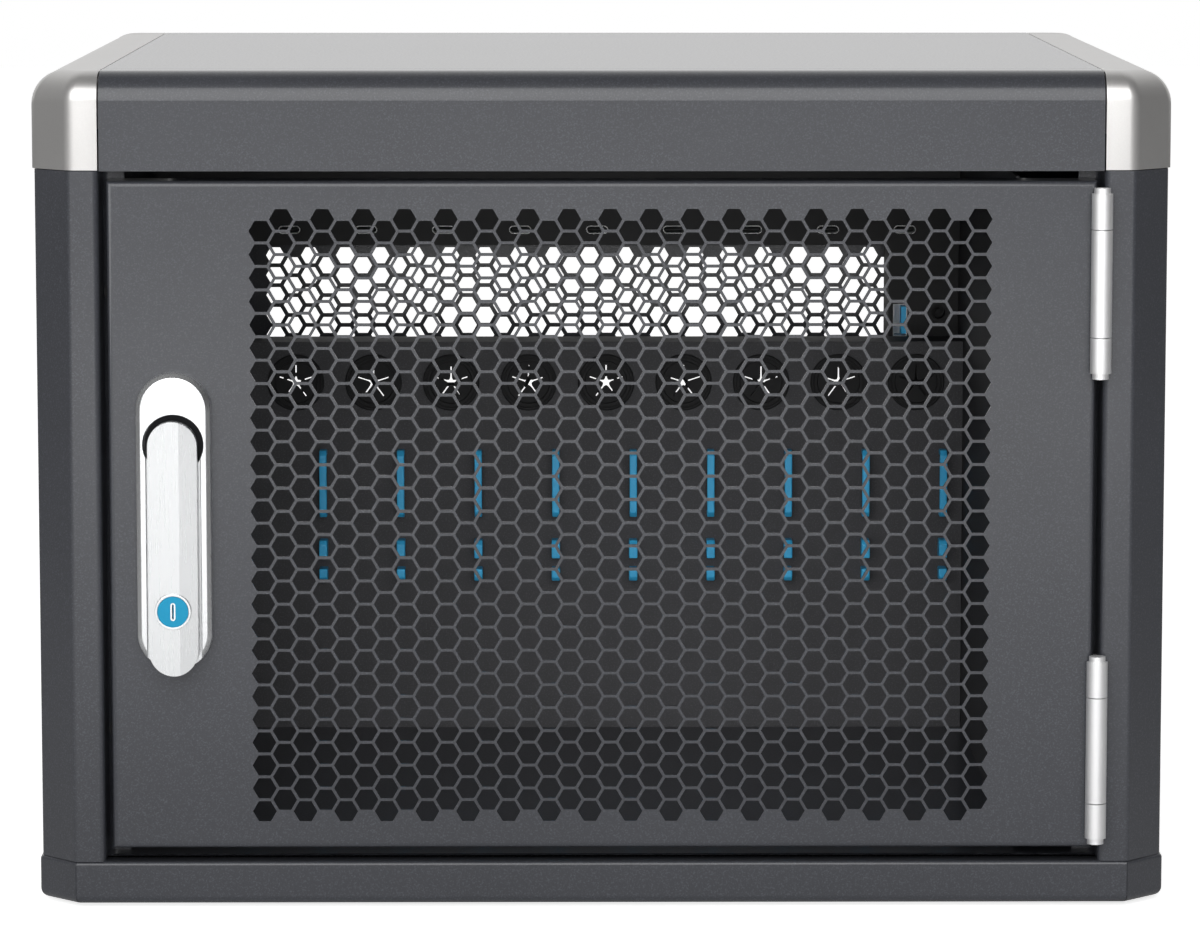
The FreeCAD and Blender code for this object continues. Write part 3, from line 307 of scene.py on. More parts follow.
@dataclass(frozen=True)
class Plated(Finish):
    """A plated metal with fine brush lines along one axis and faint smudges.

    Attributes:
        lines: brush lines per metre along X, Y and Z.
    """

    lines: tuple[float, float, float] = (1800.0, 1800.0, 60.0)

    def material(self) -> bpy.types.Material:
        """Return the material: brush lines set bump and gloss, smudges dull the colour a little."""
        graph = Coating(self.name)
        inputs = {"Vector": graph.stretched(self.lines), "Scale": 1.0, "Detail": 2.0}
        brush = graph.add("ShaderNodeTexNoise", {"noise_dimensions": "3D"}, inputs, "Fac")
        smudge = graph.noise(45.0, 3.0)
        share = smudge * 0.7 + brush * 0.3
        graph.set(
            Base_Color=self.shades(graph, share, 0.93, 1.05),
            Roughness=brush * 0.12 + smudge * 0.06 + (self.roughness - 0.09),
            Metallic=1.0,
        )
        graph.bump(brush, 0.12, 0.00001)
        return graph.material


@dataclass(frozen=True)
class Moulded(Finish):
    """A moulded plastic or rubber with a fine texture.

    Attributes:
        grain: grains per metre.
    """

    grain: float = 2200.0

    def material(self) -> bpy.types.Material:
        """Return the material: a spark-eroded grain with a slow drift of tone."""
        graph = Coating(self.name)
        grain = graph.noise(self.grain, 2.0)
        drift = graph.noise(60.0, 2.0)
        share = grain * 0.4 + drift * 0.6
        graph.set(
            Base_Color=self.shades(graph, share, 0.85, 1.15),
            Roughness=grain * 0.14 + (self.roughness - 0.07),
        )
        graph.bump(grain, 0.25, 0.00003)
        return graph.material


@dataclass(frozen=True)
class Finishes:
    """All the finishes of the cabinet, each named like its slot."""

    shell: PowderCoat = PowderCoat("dark_powder_coat", (0.037, 0.039, 0.046), 0.36, 0.6)
    inner: PowderCoat = PowderCoat("charcoal_powder_coat", (0.07, 0.07, 0.075), 0.6)
    trim: SatinPaint = SatinPaint("silver_satin_paint", (0.58, 0.57, 0.56), 0.36, 0.85)
    rubber: Moulded = Moulded("black_rubber", (0.016, 0.016, 0.017), 0.7)
    blue: Moulded = Moulded("blue_plastic", (0.06, 0.52, 1.0), 0.35)
    black: Moulded = Moulded("black_plastic", (0.01, 0.01, 0.011), 0.5)
    zinc: Plated = Plated("bright_zinc", (0.97, 0.97, 0.98), 0.58)
    handle: Plated = Plated("plated_handle", (0.86, 0.87, 0.88), 0.28)
    # Painted shade: this near-black steel stands for the shade in the handle's pocket, where the spindle
    # shows through.
    steel: Plated = Plated("steel_darkened_as_pocket_shade", (0.025, 0.025, 0.027), 0.5)
    key: Plated = Plated("blue_key_face", (0.03, 0.3, 0.5), 0.3, (900.0, 900.0, 900.0))

    def by_slot(self) -> dict[Slot, bpy.types.Material]:
        """Return one material for each slot of the record."""
        return {slot: getattr(self, slot.name.lower()).material() for slot in Slot}


# Meshes


def grid_faces(rows: int, columns: int, wrap_rows: bool = False, wrap_columns: bool = False) -> np.ndarray:
    """Return the quads of a grid of points that is numbered row by row.

    Args:
        rows: points along the first parameter.
        columns: points along the second parameter.
        wrap_rows: whether the last row joins the first.
        wrap_columns: whether the last column joins the first.

    Returns:
        An array of quads, four point numbers each.
    """
    row = np.arange(rows if wrap_rows else rows - 1)[:, None]
    column = np.arange(columns if wrap_columns else columns - 1)[None, :]
    below, right = (row + 1) % rows, (column + 1) % columns
    near, far = row * columns, below * columns
    corners = (near + column, near + right, far + right, far + column)
    return np.stack(np.broadcast_arrays(*corners), axis=-1).reshape(-1, 4)


def linked(name: str, data: bpy.types.ID) -> bpy.types.Object:
    """Return a new object with that data, linked into the scene."""
    thing = bpy.data.objects.new(name, data)
    bpy.context.scene.collection.objects.link(thing)
    return thing


def merge_into(mesh: bpy.types.Mesh, source: bpy.types.Mesh, gap: float, flat: float = 0.0) -> None:
    """Write a mesh with its points merged.

    Args:
        mesh: the mesh to write.
        source: the mesh to read.
        gap: points closer than this are one, metres.
        flat: faces that differ by less than this angle are one, degrees, or nothing to keep them.
    """
    shape = bmesh.new()
    shape.from_mesh(source)
    bmesh.ops.remove_doubles(shape, verts=shape.verts, dist=gap)
    if flat:
        bmesh.ops.dissolve_limit(
            shape, angle_limit=math.radians(flat), verts=shape.verts, edges=shape.edges,
            use_dissolve_boundaries=False,
        )
    shape.to_mesh(mesh)
    shape.free()


def keep_flats_flat(thing: bpy.types.Object) -> None:
    """Weight an object's normals by area, so that flat faces shade flat beside their bends."""
    weighted = thing.modifiers.new("weighted", "WEIGHTED_NORMAL")
    weighted.keep_sharp = True


class Piece:
    """A mesh gathered from several surfaces, which rides on a body."""

    def __init__(self, name: str) -> None:
        """Start with no surfaces."""
        self.name = name
        self.points: list[np.ndarray] = []
        self.faces: list[list[int]] = []
        self.count = 0

    def add(self, points: np.ndarray, faces: np.ndarray, flipped: bool = False) -> "Piece":
        """Add one surface.

        Args:
            points: its points, millimetres.
            faces: its faces, as point numbers.
            flipped: whether its faces turn the other way.

        Returns:
            The piece itself.
        """
        numbers = np.asarray(faces) + self.count
        if flipped:
            numbers = numbers[:, ::-1]
        flat = np.asarray(points, dtype=float).reshape(-1, 3)
        self.points.append(flat)
        self.faces.extend(numbers.tolist())
        self.count += len(flat)
        return self

    def build(
        self, material: bpy.types.Material, body: Body, slot: Slot, wall: float = 0.0
    ) -> bpy.types.Object:
        """Make the object.

        Args:
            material: its material.
            body: the body that it rides on.
            slot: the record's slot of its finish; not used.
            wall: thickness that a sheet gets behind its faces, or nothing for a closed piece.

        Returns:
            The object, at the origin.
        """
        mesh = bpy.data.meshes.new(self.name)
        mesh.from_pydata(np.concatenate(self.points) * MILLI, [], self.faces)
        merge_into(mesh, mesh, WELD_GAP)
        mesh.validate()
        mesh.shade_smooth()
        mesh.set_sharp_from_angle(angle=CREASE)
        mesh.materials.append(material)
        thing = linked(self.name, mesh)
        if wall:
            sheet = thing.modifiers.new("sheet", "SOLIDIFY")
            sheet.thickness = wall * MILLI
            sheet.offset = -1.0
        keep_flats_flat(thing)
        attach(thing, body.value)
        log.info("%s: %d points, %d faces", self.name, self.count, len(self.faces))
        return thing


def millimetre_box(node: str) -> tuple[np.ndarray, np.ndarray]:
    """Return the lowest and highest corner of a node in millimetres."""
    low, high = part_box(node)
    return np.array(low) / MILLI, np.array(high) / MILLI


@dataclass(frozen=True)
class HexField:
    """A field of flat-topped hexagonal holes whose columns stand half a row apart.

    Attributes:
        centre_x: middle of the field along X.
        centre_z: middle of the field along Z.
        rows: holes in a column.
        mirrored: whether the field runs from right to left.
        columns: columns of holes.
        column_pitch: spacing of the columns.
        row_pitch: spacing of the rows.
        across: width of a hole between its flats.
    """

    centre_x: float
    centre_z: float
    rows: int
    mirrored: bool = False
    columns: int = 36
    column_pitch: float = 7.18
    row_pitch: float = 8.22
    across: float = 7.22

    def corners(self, share: float) -> np.ndarray:
        """Return the corners of a cell, scaled: (2/3 pitch, 0), (1/3 pitch, half a row) and so on round."""
        wide, narrow, tall = self.column_pitch * 2 / 3, self.column_pitch / 3, self.row_pitch / 2
        ring = [(wide, 0), (narrow, tall), (-narrow, tall), (-wide, 0), (-narrow, -tall), (narrow, -tall)]
        return np.array(ring) * share

    def place(self, points: np.ndarray) -> np.ndarray:
        """Return points of the field moved to its centre, and turned about it where it is mirrored."""
        sense = np.array([-1.0 if self.mirrored else 1.0, 1.0])
        return points * sense + np.array([self.centre_x, self.centre_z])

    def centres(self) -> np.ndarray:
        """Return each hole's centre about the field's middle; odd columns stand half a row higher."""
        column, row = np.meshgrid(np.arange(self.columns), np.arange(self.rows), indexing="ij")
        across = (column - (self.columns - 1) / 2) * self.column_pitch
        up = (row + (column % 2) / 2 - (self.rows - 0.5) / 2) * self.row_pitch
        return np.stack([across, up], axis=-1).reshape(-1, 2)

    def border(self) -> np.ndarray:
        """Return the zigzag outline of all the cells, anticlockwise: bottom, right, top and left."""
        cells = self.centres().reshape(self.columns, self.rows, 2)
        narrow, tall = self.column_pitch / 3, self.row_pitch / 2
        bottom = (cells[:, 0, None, :] + np.array([[-narrow, -tall], [narrow, -tall]])).reshape(-1, 2)
        top = (cells[::-1, -1, None, :] + np.array([[narrow, tall], [-narrow, tall]])).reshape(-1, 2)
        tips = np.array([[narrow * 2, 0.0], [narrow, tall]])
        right = (cells[-1, :, None, :] + tips).reshape(-1, 2)[:-1]
        left = (cells[0, ::-1, None, :] - tips).reshape(-1, 2)[:-1]
        return np.concatenate([bottom, right, top, left])


@dataclass(frozen=True)
class PerforatedSheet:
    """A flat sheet across Y with a hexagon field and plain cut-outs.

    Attributes:
        field: its hexagons.
        rectangle: its edges: left, right, bottom and top.
        front: its front face along Y.
        wall: its thickness.
        cutouts: the outlines of its plain cut-outs, anticlockwise.
    """

    field: HexField
    rectangle: tuple[float, float, float, float]
    front: float
    wall: float
    cutouts: tuple[np.ndarray, ...] = ()

    @staticmethod
    def loop(rectangle: tuple[float, float, float, float]) -> np.ndarray:
        """Return a rectangle's corners, anticlockwise."""
        left, right, bottom, top = rectangle
        return np.array([(left, bottom), (right, bottom), (right, top), (left, top)])

    def lifted(self, flat: np.ndarray, depth: float) -> np.ndarray:
        """Return points of the sheet's plane as points in space, at a depth behind its front."""
        return np.stack([flat[..., 0], np.full(flat.shape[:-1], self.front + depth), flat[..., 1]], axis=-1)

    def add_cells(self, piece: Piece) -> None:
        """Add each hole: a ring from the cell's edge to the hole on both faces, and the hole's wall.

        A cell is four hexagons: its edge and its hole in front, then its hole and its edge behind. The
        surface runs from one to the next, and each ring closes round its six corners.
        """
        share = self.field.across / self.field.row_pitch
        rings = [self.field.corners(size) for size in (1.0, share, share, 1.0)]
        depths = (0.0, 0.0, self.wall, self.wall)
        centres = self.field.centres()[:, None, :]
        cells = [self.lifted(self.field.place(centres + ring), depth) for ring, depth in zip(rings, depths)]
        points = np.stack(cells, axis=1)
        pattern = grid_faces(4, 6, wrap_columns=True)
        offsets = np.arange(len(points))[:, None, None] * 24
        faces = (pattern[None] + offsets).reshape(-1, 4)
        piece.add(points, faces, flipped=self.field.mirrored)

    def add_border(self, piece: Piece, inset: float = 0.0) -> None:
        """Add the plain sheet round the field on both faces, and the walls of the cut-outs.

        Args:
            piece: the piece to add to.
            inset: how far the sheet stops short of its rectangle.
        """
        left, right, bottom, top = self.rectangle
        outer = self.loop((left + inset, right - inset, bottom + inset, top - inset))
        loops = [outer, self.field.place(self.field.border()), *self.cutouts]
        flat = np.concatenate(loops)
        polygons = [[Vector((*point, 0.0)) for point in loop] for loop in loops]
        triangles = np.array(tessellate_polygon(polygons))
        first, second, third = (flat[triangles[:, corner]] for corner in range(3))
        turn = np.cross(second - first, third - first)
        triangles[turn < 0] = triangles[turn < 0][:, ::-1]
        piece.add(self.lifted(flat, 0.0), triangles)
        piece.add(self.lifted(flat, self.wall), triangles, flipped=True)
        for hole in self.cutouts:
            points = np.stack([self.lifted(hole, 0.0), self.lifted(hole, self.wall)])
            piece.add(points, grid_faces(2, len(hole), wrap_columns=True))


def arc(centre: tuple[float, float], radius: float, start: float, end: float, steps: int) -> np.ndarray:
    """Return points on an arc: the centre plus the radius at angles from start to end, degrees."""
    turn = np.radians(np.linspace(start, end, steps))
    return np.stack([centre[0] + radius * np.cos(turn), centre[1] + radius * np.sin(turn)], axis=-1)


def rounded_path(corners: np.ndarray, radius: float, steps: int) -> np.ndarray:
    """Return an open path whose inner corners are arcs.

    Each corner is a rational quadratic curve between its two tangent points, with the corner itself as
    the middle control point and the sine of half its angle as weight, which makes it a true arc.

    Args:
        corners: the path's corners, in a plane.
        radius: radius of the arcs.
        steps: points on each arc.

    Returns:
        The path's points.
    """
    before, middle, after = corners[:-2], corners[1:-1], corners[2:]
    back = (before - middle) / np.linalg.norm(before - middle, axis=1, keepdims=True)
    ahead = (after - middle) / np.linalg.norm(after - middle, axis=1, keepdims=True)
    half_angle = np.arccos(np.clip(np.sum(back * ahead, axis=1), -1.0, 1.0))[:, None] / 2
    reach = radius / np.tan(half_angle)
    first, last = (middle + back * reach)[:, None], (middle + ahead * reach)[:, None]
    share = np.linspace(0.0, 1.0, steps)[None, :, None]
    start, crown, end = (1 - share) ** 2, 2 * share * (1 - share) * np.sin(half_angle)[:, None], share ** 2
    curves = (start * first + crown * middle[:, None] + end * last) / (start + crown + end)
    return np.concatenate([corners[:1], curves.reshape(-1, 2), corners[-1:]])


@dataclass(frozen=True)
class SideSkin:
    """A side of the cabinet, folded from one sheet with rounded bends.

    Attributes:
        node: the solid that it stands for.
        side: 1 on the right and -1 on the left.
        chamfer: width of the corner chamfer.
        post: width of the post beside the door.
        jamb: depth of the fold beside the door.
        lip: width of the lip that the door stops on.
        flange: width of the fold behind the rear panel.
        step: how far the wall stands inside the crown and the plinth.
        bend: radius of the folds.
        wall: thickness of the sheet.
    """

    node: str
    side: int
    chamfer: float = 13.8
    post: float = 24.4
    jamb: float = 18.0
    lip: float = 7.6
    flange: float = 15.0
    step: float = 0.9
    bend: float = 2.4
    wall: float = 1.2

    def build(self, material: bpy.types.Material) -> None:
        """Build the side: a rounded path in plan, carried straight up, given its thickness by Solidify."""
        low, high = millimetre_box(self.node)
        front, back = low[1], high[1]
        outer = high[0] if self.side > 0 else -low[0]
        post = outer - self.post
        corners = np.array([
            (outer - self.flange, back), (outer - self.step, back), (outer - self.step, front + self.chamfer),
            (outer - self.chamfer, front), (post, front), (post, front + self.jamb),
            (post - self.lip, front + self.jamb),
        ])
        plan = rounded_path(corners, self.bend, BEND_STEPS)
        heights = np.array([low[2], high[2]])
        across = np.broadcast_to(plan[:, None, 0] * self.side, (len(plan), 2))
        along = np.broadcast_to(plan[:, None, 1], (len(plan), 2))
        up = np.broadcast_to(heights[None, :], (len(plan), 2))
        piece = Piece(f"{self.node}_skin")
        piece.add(np.stack([across, along, up], axis=-1), grid_faces(len(plan), 2), flipped=self.side < 0)
        skin = piece.build(material, Body.CABINET, Slot.SHELL, self.wall)
        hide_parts(self.node)


@dataclass(frozen=True)
class CornerCap:
    """A silver cap where a rail, a fascia and a post meet.

    Attributes:
        node: the solid that it stands for.
        side: 1 on the right and -1 on the left.
        sense: 1 at the front and -1 at the back.
        chamfer: width of the chamfer in plan.
        fold: radius of the folds in plan.
        face_bend: radius over the top beside the fascia.
        rail_bend: radius over the top beside the rail.
        wall: thickness of the cap.
        seam: gap to the fascia and to the post.
        fold_steps: points along a fold.
        bend_steps: points along the bend over the top.
    """

    node: str
    side: int
    sense: int
    chamfer: float
    fold: float
    face_bend: float = 10.0
    rail_bend: float = 12.0
    wall: float = 1.4
    seam: float = 0.3
    fold_steps: int = 9
    bend_steps: int = 12

    def plan(self, wide: float, deep: float, inset: float) -> np.ndarray:
        """Return the cap's outline in plan, from the fascia round to the rail, set in.

        Args:
            wide: the cap's width along X.
            deep: the cap's depth along Y.
            inset: how far the outline is set in.

        Returns:
            Points measured in from the outer side and from the outer face.
        """
        turn = self.chamfer + inset * (math.sqrt(2.0) - 1.0)
        if self.chamfer:
            corners = [(wide, inset), (turn, inset), (inset, turn), (inset, deep)]
        else:
            corners = [(wide, inset), (inset, inset), (inset, deep)]
        return rounded_path(np.array(corners), self.fold, self.fold_steps)

    def build(self, material: bpy.types.Material) -> None:
        """Build the cap.

        The surface is the plan's outline, carried up the wall and over a quarter circle: at each turn t the
        outline is set in by r (1 - cos t) and stands r (1 - sin t) below the top, where r goes from the
        fascia's bend to the rail's along the outline. A last row closes the top at the inner corner.
        """
        low, high = millimetre_box(self.node)
        wide, deep = high[0] - low[0] - self.seam, high[1] - low[1]
        outline = self.plan(wide, deep, 0.0)
        inward = self.plan(wide, deep, 1.0) - outline
        bend = np.linspace(self.face_bend, self.rail_bend, len(outline))[None, :]
        turn = np.radians(np.linspace(0.0, 90.0, self.bend_steps))[:, None]
        inset = np.concatenate([np.zeros_like(bend), bend * (1 - np.cos(turn))])
        drop = np.concatenate([np.full_like(bend, high[2] - low[2] - self.seam), bend * (1 - np.sin(turn))])
        flat = outline[None] + inset[..., None] * inward[None]
        flat = np.concatenate([flat, np.broadcast_to([wide, deep], flat[:1].shape)])
        drop = np.concatenate([drop, np.zeros_like(bend)])
        outer_x = high[0] if self.side > 0 else low[0]
        outer_y = low[1] if self.sense > 0 else high[1]
        points = np.stack(
            [outer_x - self.side * flat[..., 0], outer_y + self.sense * flat[..., 1], high[2] - drop], axis=-1
        )
        piece = Piece(f"{self.node}_skin")
        piece.add(points, grid_faces(*flat.shape[:2]), flipped=self.side * self.sense < 0)
        skin = piece.build(material, Body.CABINET, Slot.TRIM, self.wall)
        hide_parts(self.node)


@dataclass(frozen=True)
class PlinthSkin:
    """The base tray: a front band and a band round the other sides, which meet in seams, and the floor.

    Attributes:
        chamfer: width of the front corners' chamfer.
        gap: width of a seam.
        fold: radius of the folds in plan.
        top_bend: radius of the bend to the floor.
        low_bend: radius of the bend to the bottom return.
        flange: width of the bands' part of the floor.
        rim: width of the bottom return.
        wall: thickness of the sheet.
    """

    chamfer: float = 13.8
    gap: float = 0.45
    fold: float = 2.6
    top_bend: float = 1.4
    low_bend: float = 3.0
    flange: float = 9.0
    rim: float = 26.0
    wall: float = 1.2

    def plan(self, inset: float) -> np.ndarray:
        """Return the corners of the plan, set in, from the front left round the back to the front right."""
        low, high = millimetre_box("base_tray")
        side, near, far = high[0] - inset, low[1] + inset, high[1] - inset
        turn = self.chamfer - inset * (2.0 - math.sqrt(2.0))
        half = np.array([(side, far), (side, near + turn), (side - turn, near)])
        return np.concatenate([half[::-1] * [-1.0, 1.0], half])

    def section(self) -> np.ndarray:
        """Return a band's section as inset and height: floor flange, top bend, wall, low bend and return."""
        low, high = millimetre_box("base_tray")
        upper = arc((self.top_bend, high[2] - self.top_bend), self.top_bend, 90.0, 180.0, 6)
        lower = arc((self.low_bend, low[2] + self.low_bend), self.low_bend, 180.0, 270.0, BEND_STEPS)
        return np.concatenate([[(self.flange, high[2])], upper, lower, [(self.rim, low[2])]])

    def band(self, paths: list[np.ndarray]) -> np.ndarray:
        """Return a band: the path set in by the section's inset, which moves each point in a straight line.

        Args:
            paths: the band's path, and the same path set in by one millimetre.

        Returns:
            A grid of points, along the path and along the section.
        """
        section = self.section()
        flat = paths[0][:, None] + section[None, :, :1] * (paths[1] - paths[0])[:, None]
        up = np.broadcast_to(section[None, :, 1], flat.shape[:2])
        return np.concatenate([flat, up[..., None]], axis=-1)

    def build(self, material: bpy.types.Material) -> None:
        """Build both bands and the floor between them."""
        shorten = np.array([self.gap / 2, 0.0])
        fronts = [self.plan(inset)[[0, -1]] + [shorten, -shorten] for inset in (0.0, 1.0)]
        wraps = []
        for inset in (0.0, 1.0):
            corners = self.plan(inset)
            corners[0] += [-self.gap / 2, self.gap / 2]
            corners[-1] += [self.gap / 2, self.gap / 2]
            wraps.append(rounded_path(corners, self.fold, BEND_STEPS))
        piece = Piece("plinth_skin")
        for paths, flipped in ((fronts, False), (wraps, True)):
            points = self.band(paths)
            piece.add(points, grid_faces(*points.shape[:2]), flipped=flipped)
        floor = self.plan(self.flange)
        top = np.full((len(floor), 1), millimetre_box("base_tray")[1][2])
        piece.add(np.concatenate([floor, top], axis=1), [list(range(len(floor)))])
        skin = piece.build(material, Body.CABINET, Slot.SHELL, self.wall)
        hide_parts("base_tray")


@dataclass(frozen=True)
class Softened:
    """A solid shown with its edges rounded.

    Attributes:
        node: the solid.
        body: the body that it moves with.
        slot: its slot in the record; not used.
        radius: width of the rounding.
        merge: points closer than this are one, metres.
        flat: faces that differ by less than this angle are one, degrees.
        sharpest: edges that turn by more than this angle are rounded, degrees.
    """

    node: str
    body: Body
    slot: Slot
    radius: float
    merge: float = 0.000002
    flat: float = 0.6
    sharpest: float = 24.0

    def build(self, material: bpy.types.Material) -> None:
        """Copy the solid's mesh, merge its triangles into flat faces and round its edges."""
        mesh = bpy.data.meshes.new(f"{self.node}_soft")
        merge_into(mesh, frame["nodes"][self.node].data, self.merge, self.flat)
        mesh.shade_smooth()
        mesh.materials.clear()
        mesh.materials.append(material)
        soft = linked(f"{self.node}_soft", mesh)
        rounding = soft.modifiers.new("rounding", "BEVEL")
        rounding.width = self.radius * MILLI
        rounding.segments = 3
        rounding.limit_method = "ANGLE"
        rounding.angle_limit = math.radians(self.sharpest)
        keep_flats_flat(soft)
        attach(soft, self.body.value)
        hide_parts(self.node)
        log.info("%s: edges rounded by %.2f mm", self.node, self.radius)


def stadium_sweep(wide: float, tall: float, section: np.ndarray, steps: int = 9) -> np.ndarray:
    """Carry a section round a lying stadium.

    A point of the stadium is plus or minus half its straight length along X, with half its height, less
    the section's inset, added at an angle.

    Args:
        wide: width of the stadium.
        tall: height of the stadium.
        section: inset and place along Y of each point of the section.
        steps: points on each round end.

    Returns:
        A grid of points, along the section and round the stadium, about its middle.
    """
    turn = np.radians(np.concatenate([np.linspace(-90, 90, steps), np.linspace(90, 270, steps)]))
    straight = np.repeat([1.0, -1.0], steps) * (wide - tall) / 2
    radius = tall / 2 - section[:, :1]
    across = straight[None, :] + radius * np.cos(turn)
    along = np.broadcast_to(section[:, 1:], across.shape)
    return np.stack([across, along, radius * np.sin(turn)], axis=-1)


def repeated(shape: np.ndarray, places: np.ndarray) -> tuple[np.ndarray, np.ndarray]:
    """Repeat a grid of points that closes along its rows.

    Args:
        shape: the grid.
        places: where each copy goes.

    Returns:
        The points of all the copies, and their faces.
    """
    pattern = grid_faces(*shape.shape[:2], wrap_columns=True)
    offsets = np.arange(len(places))[:, None, None] * shape[..., 0].size
    return shape[None] + places[:, None, None, :], (pattern[None] + offsets).reshape(-1, 4)


@dataclass(frozen=True)
class KeywayInsert:
    """The bright insert in the lock's keyway.

    Attributes:
        size: width and height of the keyway.
        skin: thickness of the insert.
        depth: how far it reaches in.
    """

    size: tuple[float, float] = (1.74, 6.34)
    skin: float = 0.5
    depth: float = 3.5

    def build(self, material: bpy.types.Material) -> None:
        """Build the insert: a flat section carried round an upright stadium."""
        low, high = millimetre_box("key_core")
        section = np.array([(0.0, self.depth), (0.0, 0.05), (self.skin, 0.05), (self.skin, self.depth)])
        lying = stadium_sweep(self.size[1], self.size[0], section)
        upright = np.stack([-lying[..., 2], lying[..., 1], lying[..., 0]], axis=-1)
        place = np.array([[(low[0] + high[0]) / 2, low[1], (low[2] + high[2]) / 2]])
        piece = Piece("keyway_insert")
        piece.add(*repeated(upright, place))
        piece.build(material, Body.KEY, Slot.ZINC)


@dataclass(frozen=True)
class PortShells:
    """The bright metal shells of the row of ports in the charger.

    Attributes:
        pitch: spacing of the ports.
        count: number of ports.
        height: the row's place along Z.
        size: width and height of a port.
        skin: thickness of the metal.
        proud: how far a shell stands out of the charger.
        depth: how far it reaches in.
    """

    pitch: float = 31.1
    count: int = 10
    height: float = 217.9
    size: tuple[float, float] = (8.9, 3.2)
    skin: float = 0.3
    proud: float = 0.35
    depth: float = 6.0

    def build(self, material: bpy.types.Material) -> None:
        """Build the shells: a lip's section carried round a stadium, once for each port."""
        front = millimetre_box("charger_housing")[0][1]
        section = np.array([
            (0.0, self.depth), (0.0, -self.proud), (self.skin, -self.proud), (self.skin, self.depth)
        ])
        shell = stadium_sweep(*self.size, section)
        x = (np.arange(self.count) - self.count / 2) * self.pitch
        places = np.stack([x, np.full_like(x, front), np.full_like(x, self.height)], axis=-1)
        piece = Piece("port_shells")
        piece.add(*repeated(shell, places))
        piece.build(material, Body.CABINET, Slot.ZINC)


@dataclass(frozen=True)
class GrommetRow:
    """The rubber grommets of the cable partition, each with stepped rings and a star-slit membrane.

    Attributes:
        pitch: spacing of the grommets.
        count: number of grommets.
        slits: slits in a membrane.
        reach: length of a slit from the middle.
        slit: half the width of a slit.
        star: outer and inner radius of the star hole in the middle.
        rings: radius and height over the partition of each step of the rings.
        membrane: front and back of the membrane over the partition.
    """

    pitch: float = 31.1
    count: int = 10
    slits: int = 5
    reach: float = 6.9
    slit: float = 0.26
    star: tuple[float, float] = (2.7, 1.2)
    rings: tuple[tuple[float, float], ...] = (
        (8.3, 0.05), (8.6, 0.9), (9.7, 0.95), (9.8, 0.6), (10.1, 0.6), (10.2, 1.5), (10.9, 1.55), (11.3, 1.1),
        (11.3, 0.0),
    )
    membrane: tuple[float, float] = (0.0, -1.2)

    def hole(self) -> tuple[np.ndarray, np.ndarray]:
        """Return the angles and radii of the hole: the larger of a slit's flank and a star's flank."""
        step = math.pi / self.slits
        half = np.concatenate([[math.asin(self.slit / self.reach)], np.linspace(0.08, step, 7)])
        flank = self.slit / np.sin(half)
        tip, root = self.star
        ray = np.stack([np.cos(half), np.sin(half)], axis=-1)
        valley = root * np.array([math.cos(step), math.sin(step)])
        normal = np.array([valley[1], tip - valley[0]])
        star = tip * normal[0] / (ray @ normal)
        radii = np.maximum(flank, star)
        sector = np.concatenate([-half[:0:-1][1:], [-half[0]], half])
        sizes = np.concatenate([radii[:0:-1][1:], [radii[0]], radii])
        arms = math.pi / 2 + np.arange(self.slits) * step * 2
        return (arms[:, None] + sector[None, :]).ravel(), np.tile(sizes, self.slits)

    def build(self, material: bpy.types.Material) -> None:
        """Build the grommets: rows of points at the hole's radius, then at each ring's, round the turn."""
        low, high = millimetre_box("cable_grommets")
        face = millimetre_box("cable_partition")[0][1]
        middle = (low + high) / 2
        angle, radius = self.hole()
        rings = np.array(self.rings)
        inner = [np.full_like(radius, rings[0, 0]), radius, radius]
        radii = np.concatenate([inner, np.repeat(rings[:, :1], len(angle), axis=1)])
        front, back = self.membrane
        rise = np.concatenate([[back, back, front], rings[:, 1]])
        along = np.broadcast_to(-rise[:, None], radii.shape)
        grommet = np.stack([radii * np.cos(angle), along, radii * np.sin(angle)], axis=-1)
        x = middle[0] + (np.arange(self.count) - (self.count - 1) / 2) * self.pitch
        places = np.stack([x, np.full_like(x, face), np.full_like(x, middle[2])], axis=-1)
        piece = Piece("grommet_row")
        piece.add(*repeated(grommet, places), flipped=True)
        skin = piece.build(material, Body.CABINET, Slot.RUBBER)
        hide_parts("cable_grommets")


@dataclass(frozen=True)
class RearScrews:
    """The screws that hold the rear panel to the side flanges.

    Attributes:
        inset: how far the screws stand from the cabinet's sides.
        shares: their places up the rear panel, as shares of its height.
        radius: radius of a head.
        height: height of a head.
        socket: half the width of the six-sided socket.
    """

    inset: float = 7.5
    shares: tuple[float, ...] = (0.07, 0.5, 0.93)
    radius: float = 3.2
    height: float = 0.95
    socket: float = 1.1

    def build(self, material: bpy.types.Material) -> None:
        """Build the screws: a domed head turned about its axis, with a six-sided socket.

        The radius is the socket's for the inner rows, its half width over the cosine of the angle from the
        nearest flat, and the head's for the outer rows.
        """
        low, high = millimetre_box("left_side_panel")
        panel = millimetre_box("rear_panel")
        turn = np.radians(np.arange(0.0, 360.0, 15.0))
        six = self.socket / np.cos((turn + math.pi / 6) % (math.pi / 3) - math.pi / 6)
        dome = np.array([(0.72, 1.0), (0.9, 0.85), (1.0, 0.4), (1.0, 0.0)])
        heads = np.repeat(dome[:, :1] * self.radius, len(turn), axis=1)
        radii = np.concatenate([[six * 0.0, six, six], heads])
        rise = np.concatenate([[0.1, 0.1, 1.0], dome[:, 1]]) * self.height
        along = np.broadcast_to(rise[:, None], radii.shape)
        head = np.stack([radii * np.cos(turn), along, radii * np.sin(turn)], axis=-1)
        sides = np.array([low[0] + self.inset, -low[0] - self.inset])
        levels = panel[0][2] + np.array(self.shares) * (panel[1][2] - panel[0][2])
        x, z = (grid.ravel() for grid in np.meshgrid(sides, levels))
        places = np.stack([x, np.full_like(x, high[1]), z], axis=-1)
        piece = Piece("rear_screws")
        piece.add(*repeated(head, places))
        piece.build(material, Body.CABINET, Slot.ZINC)


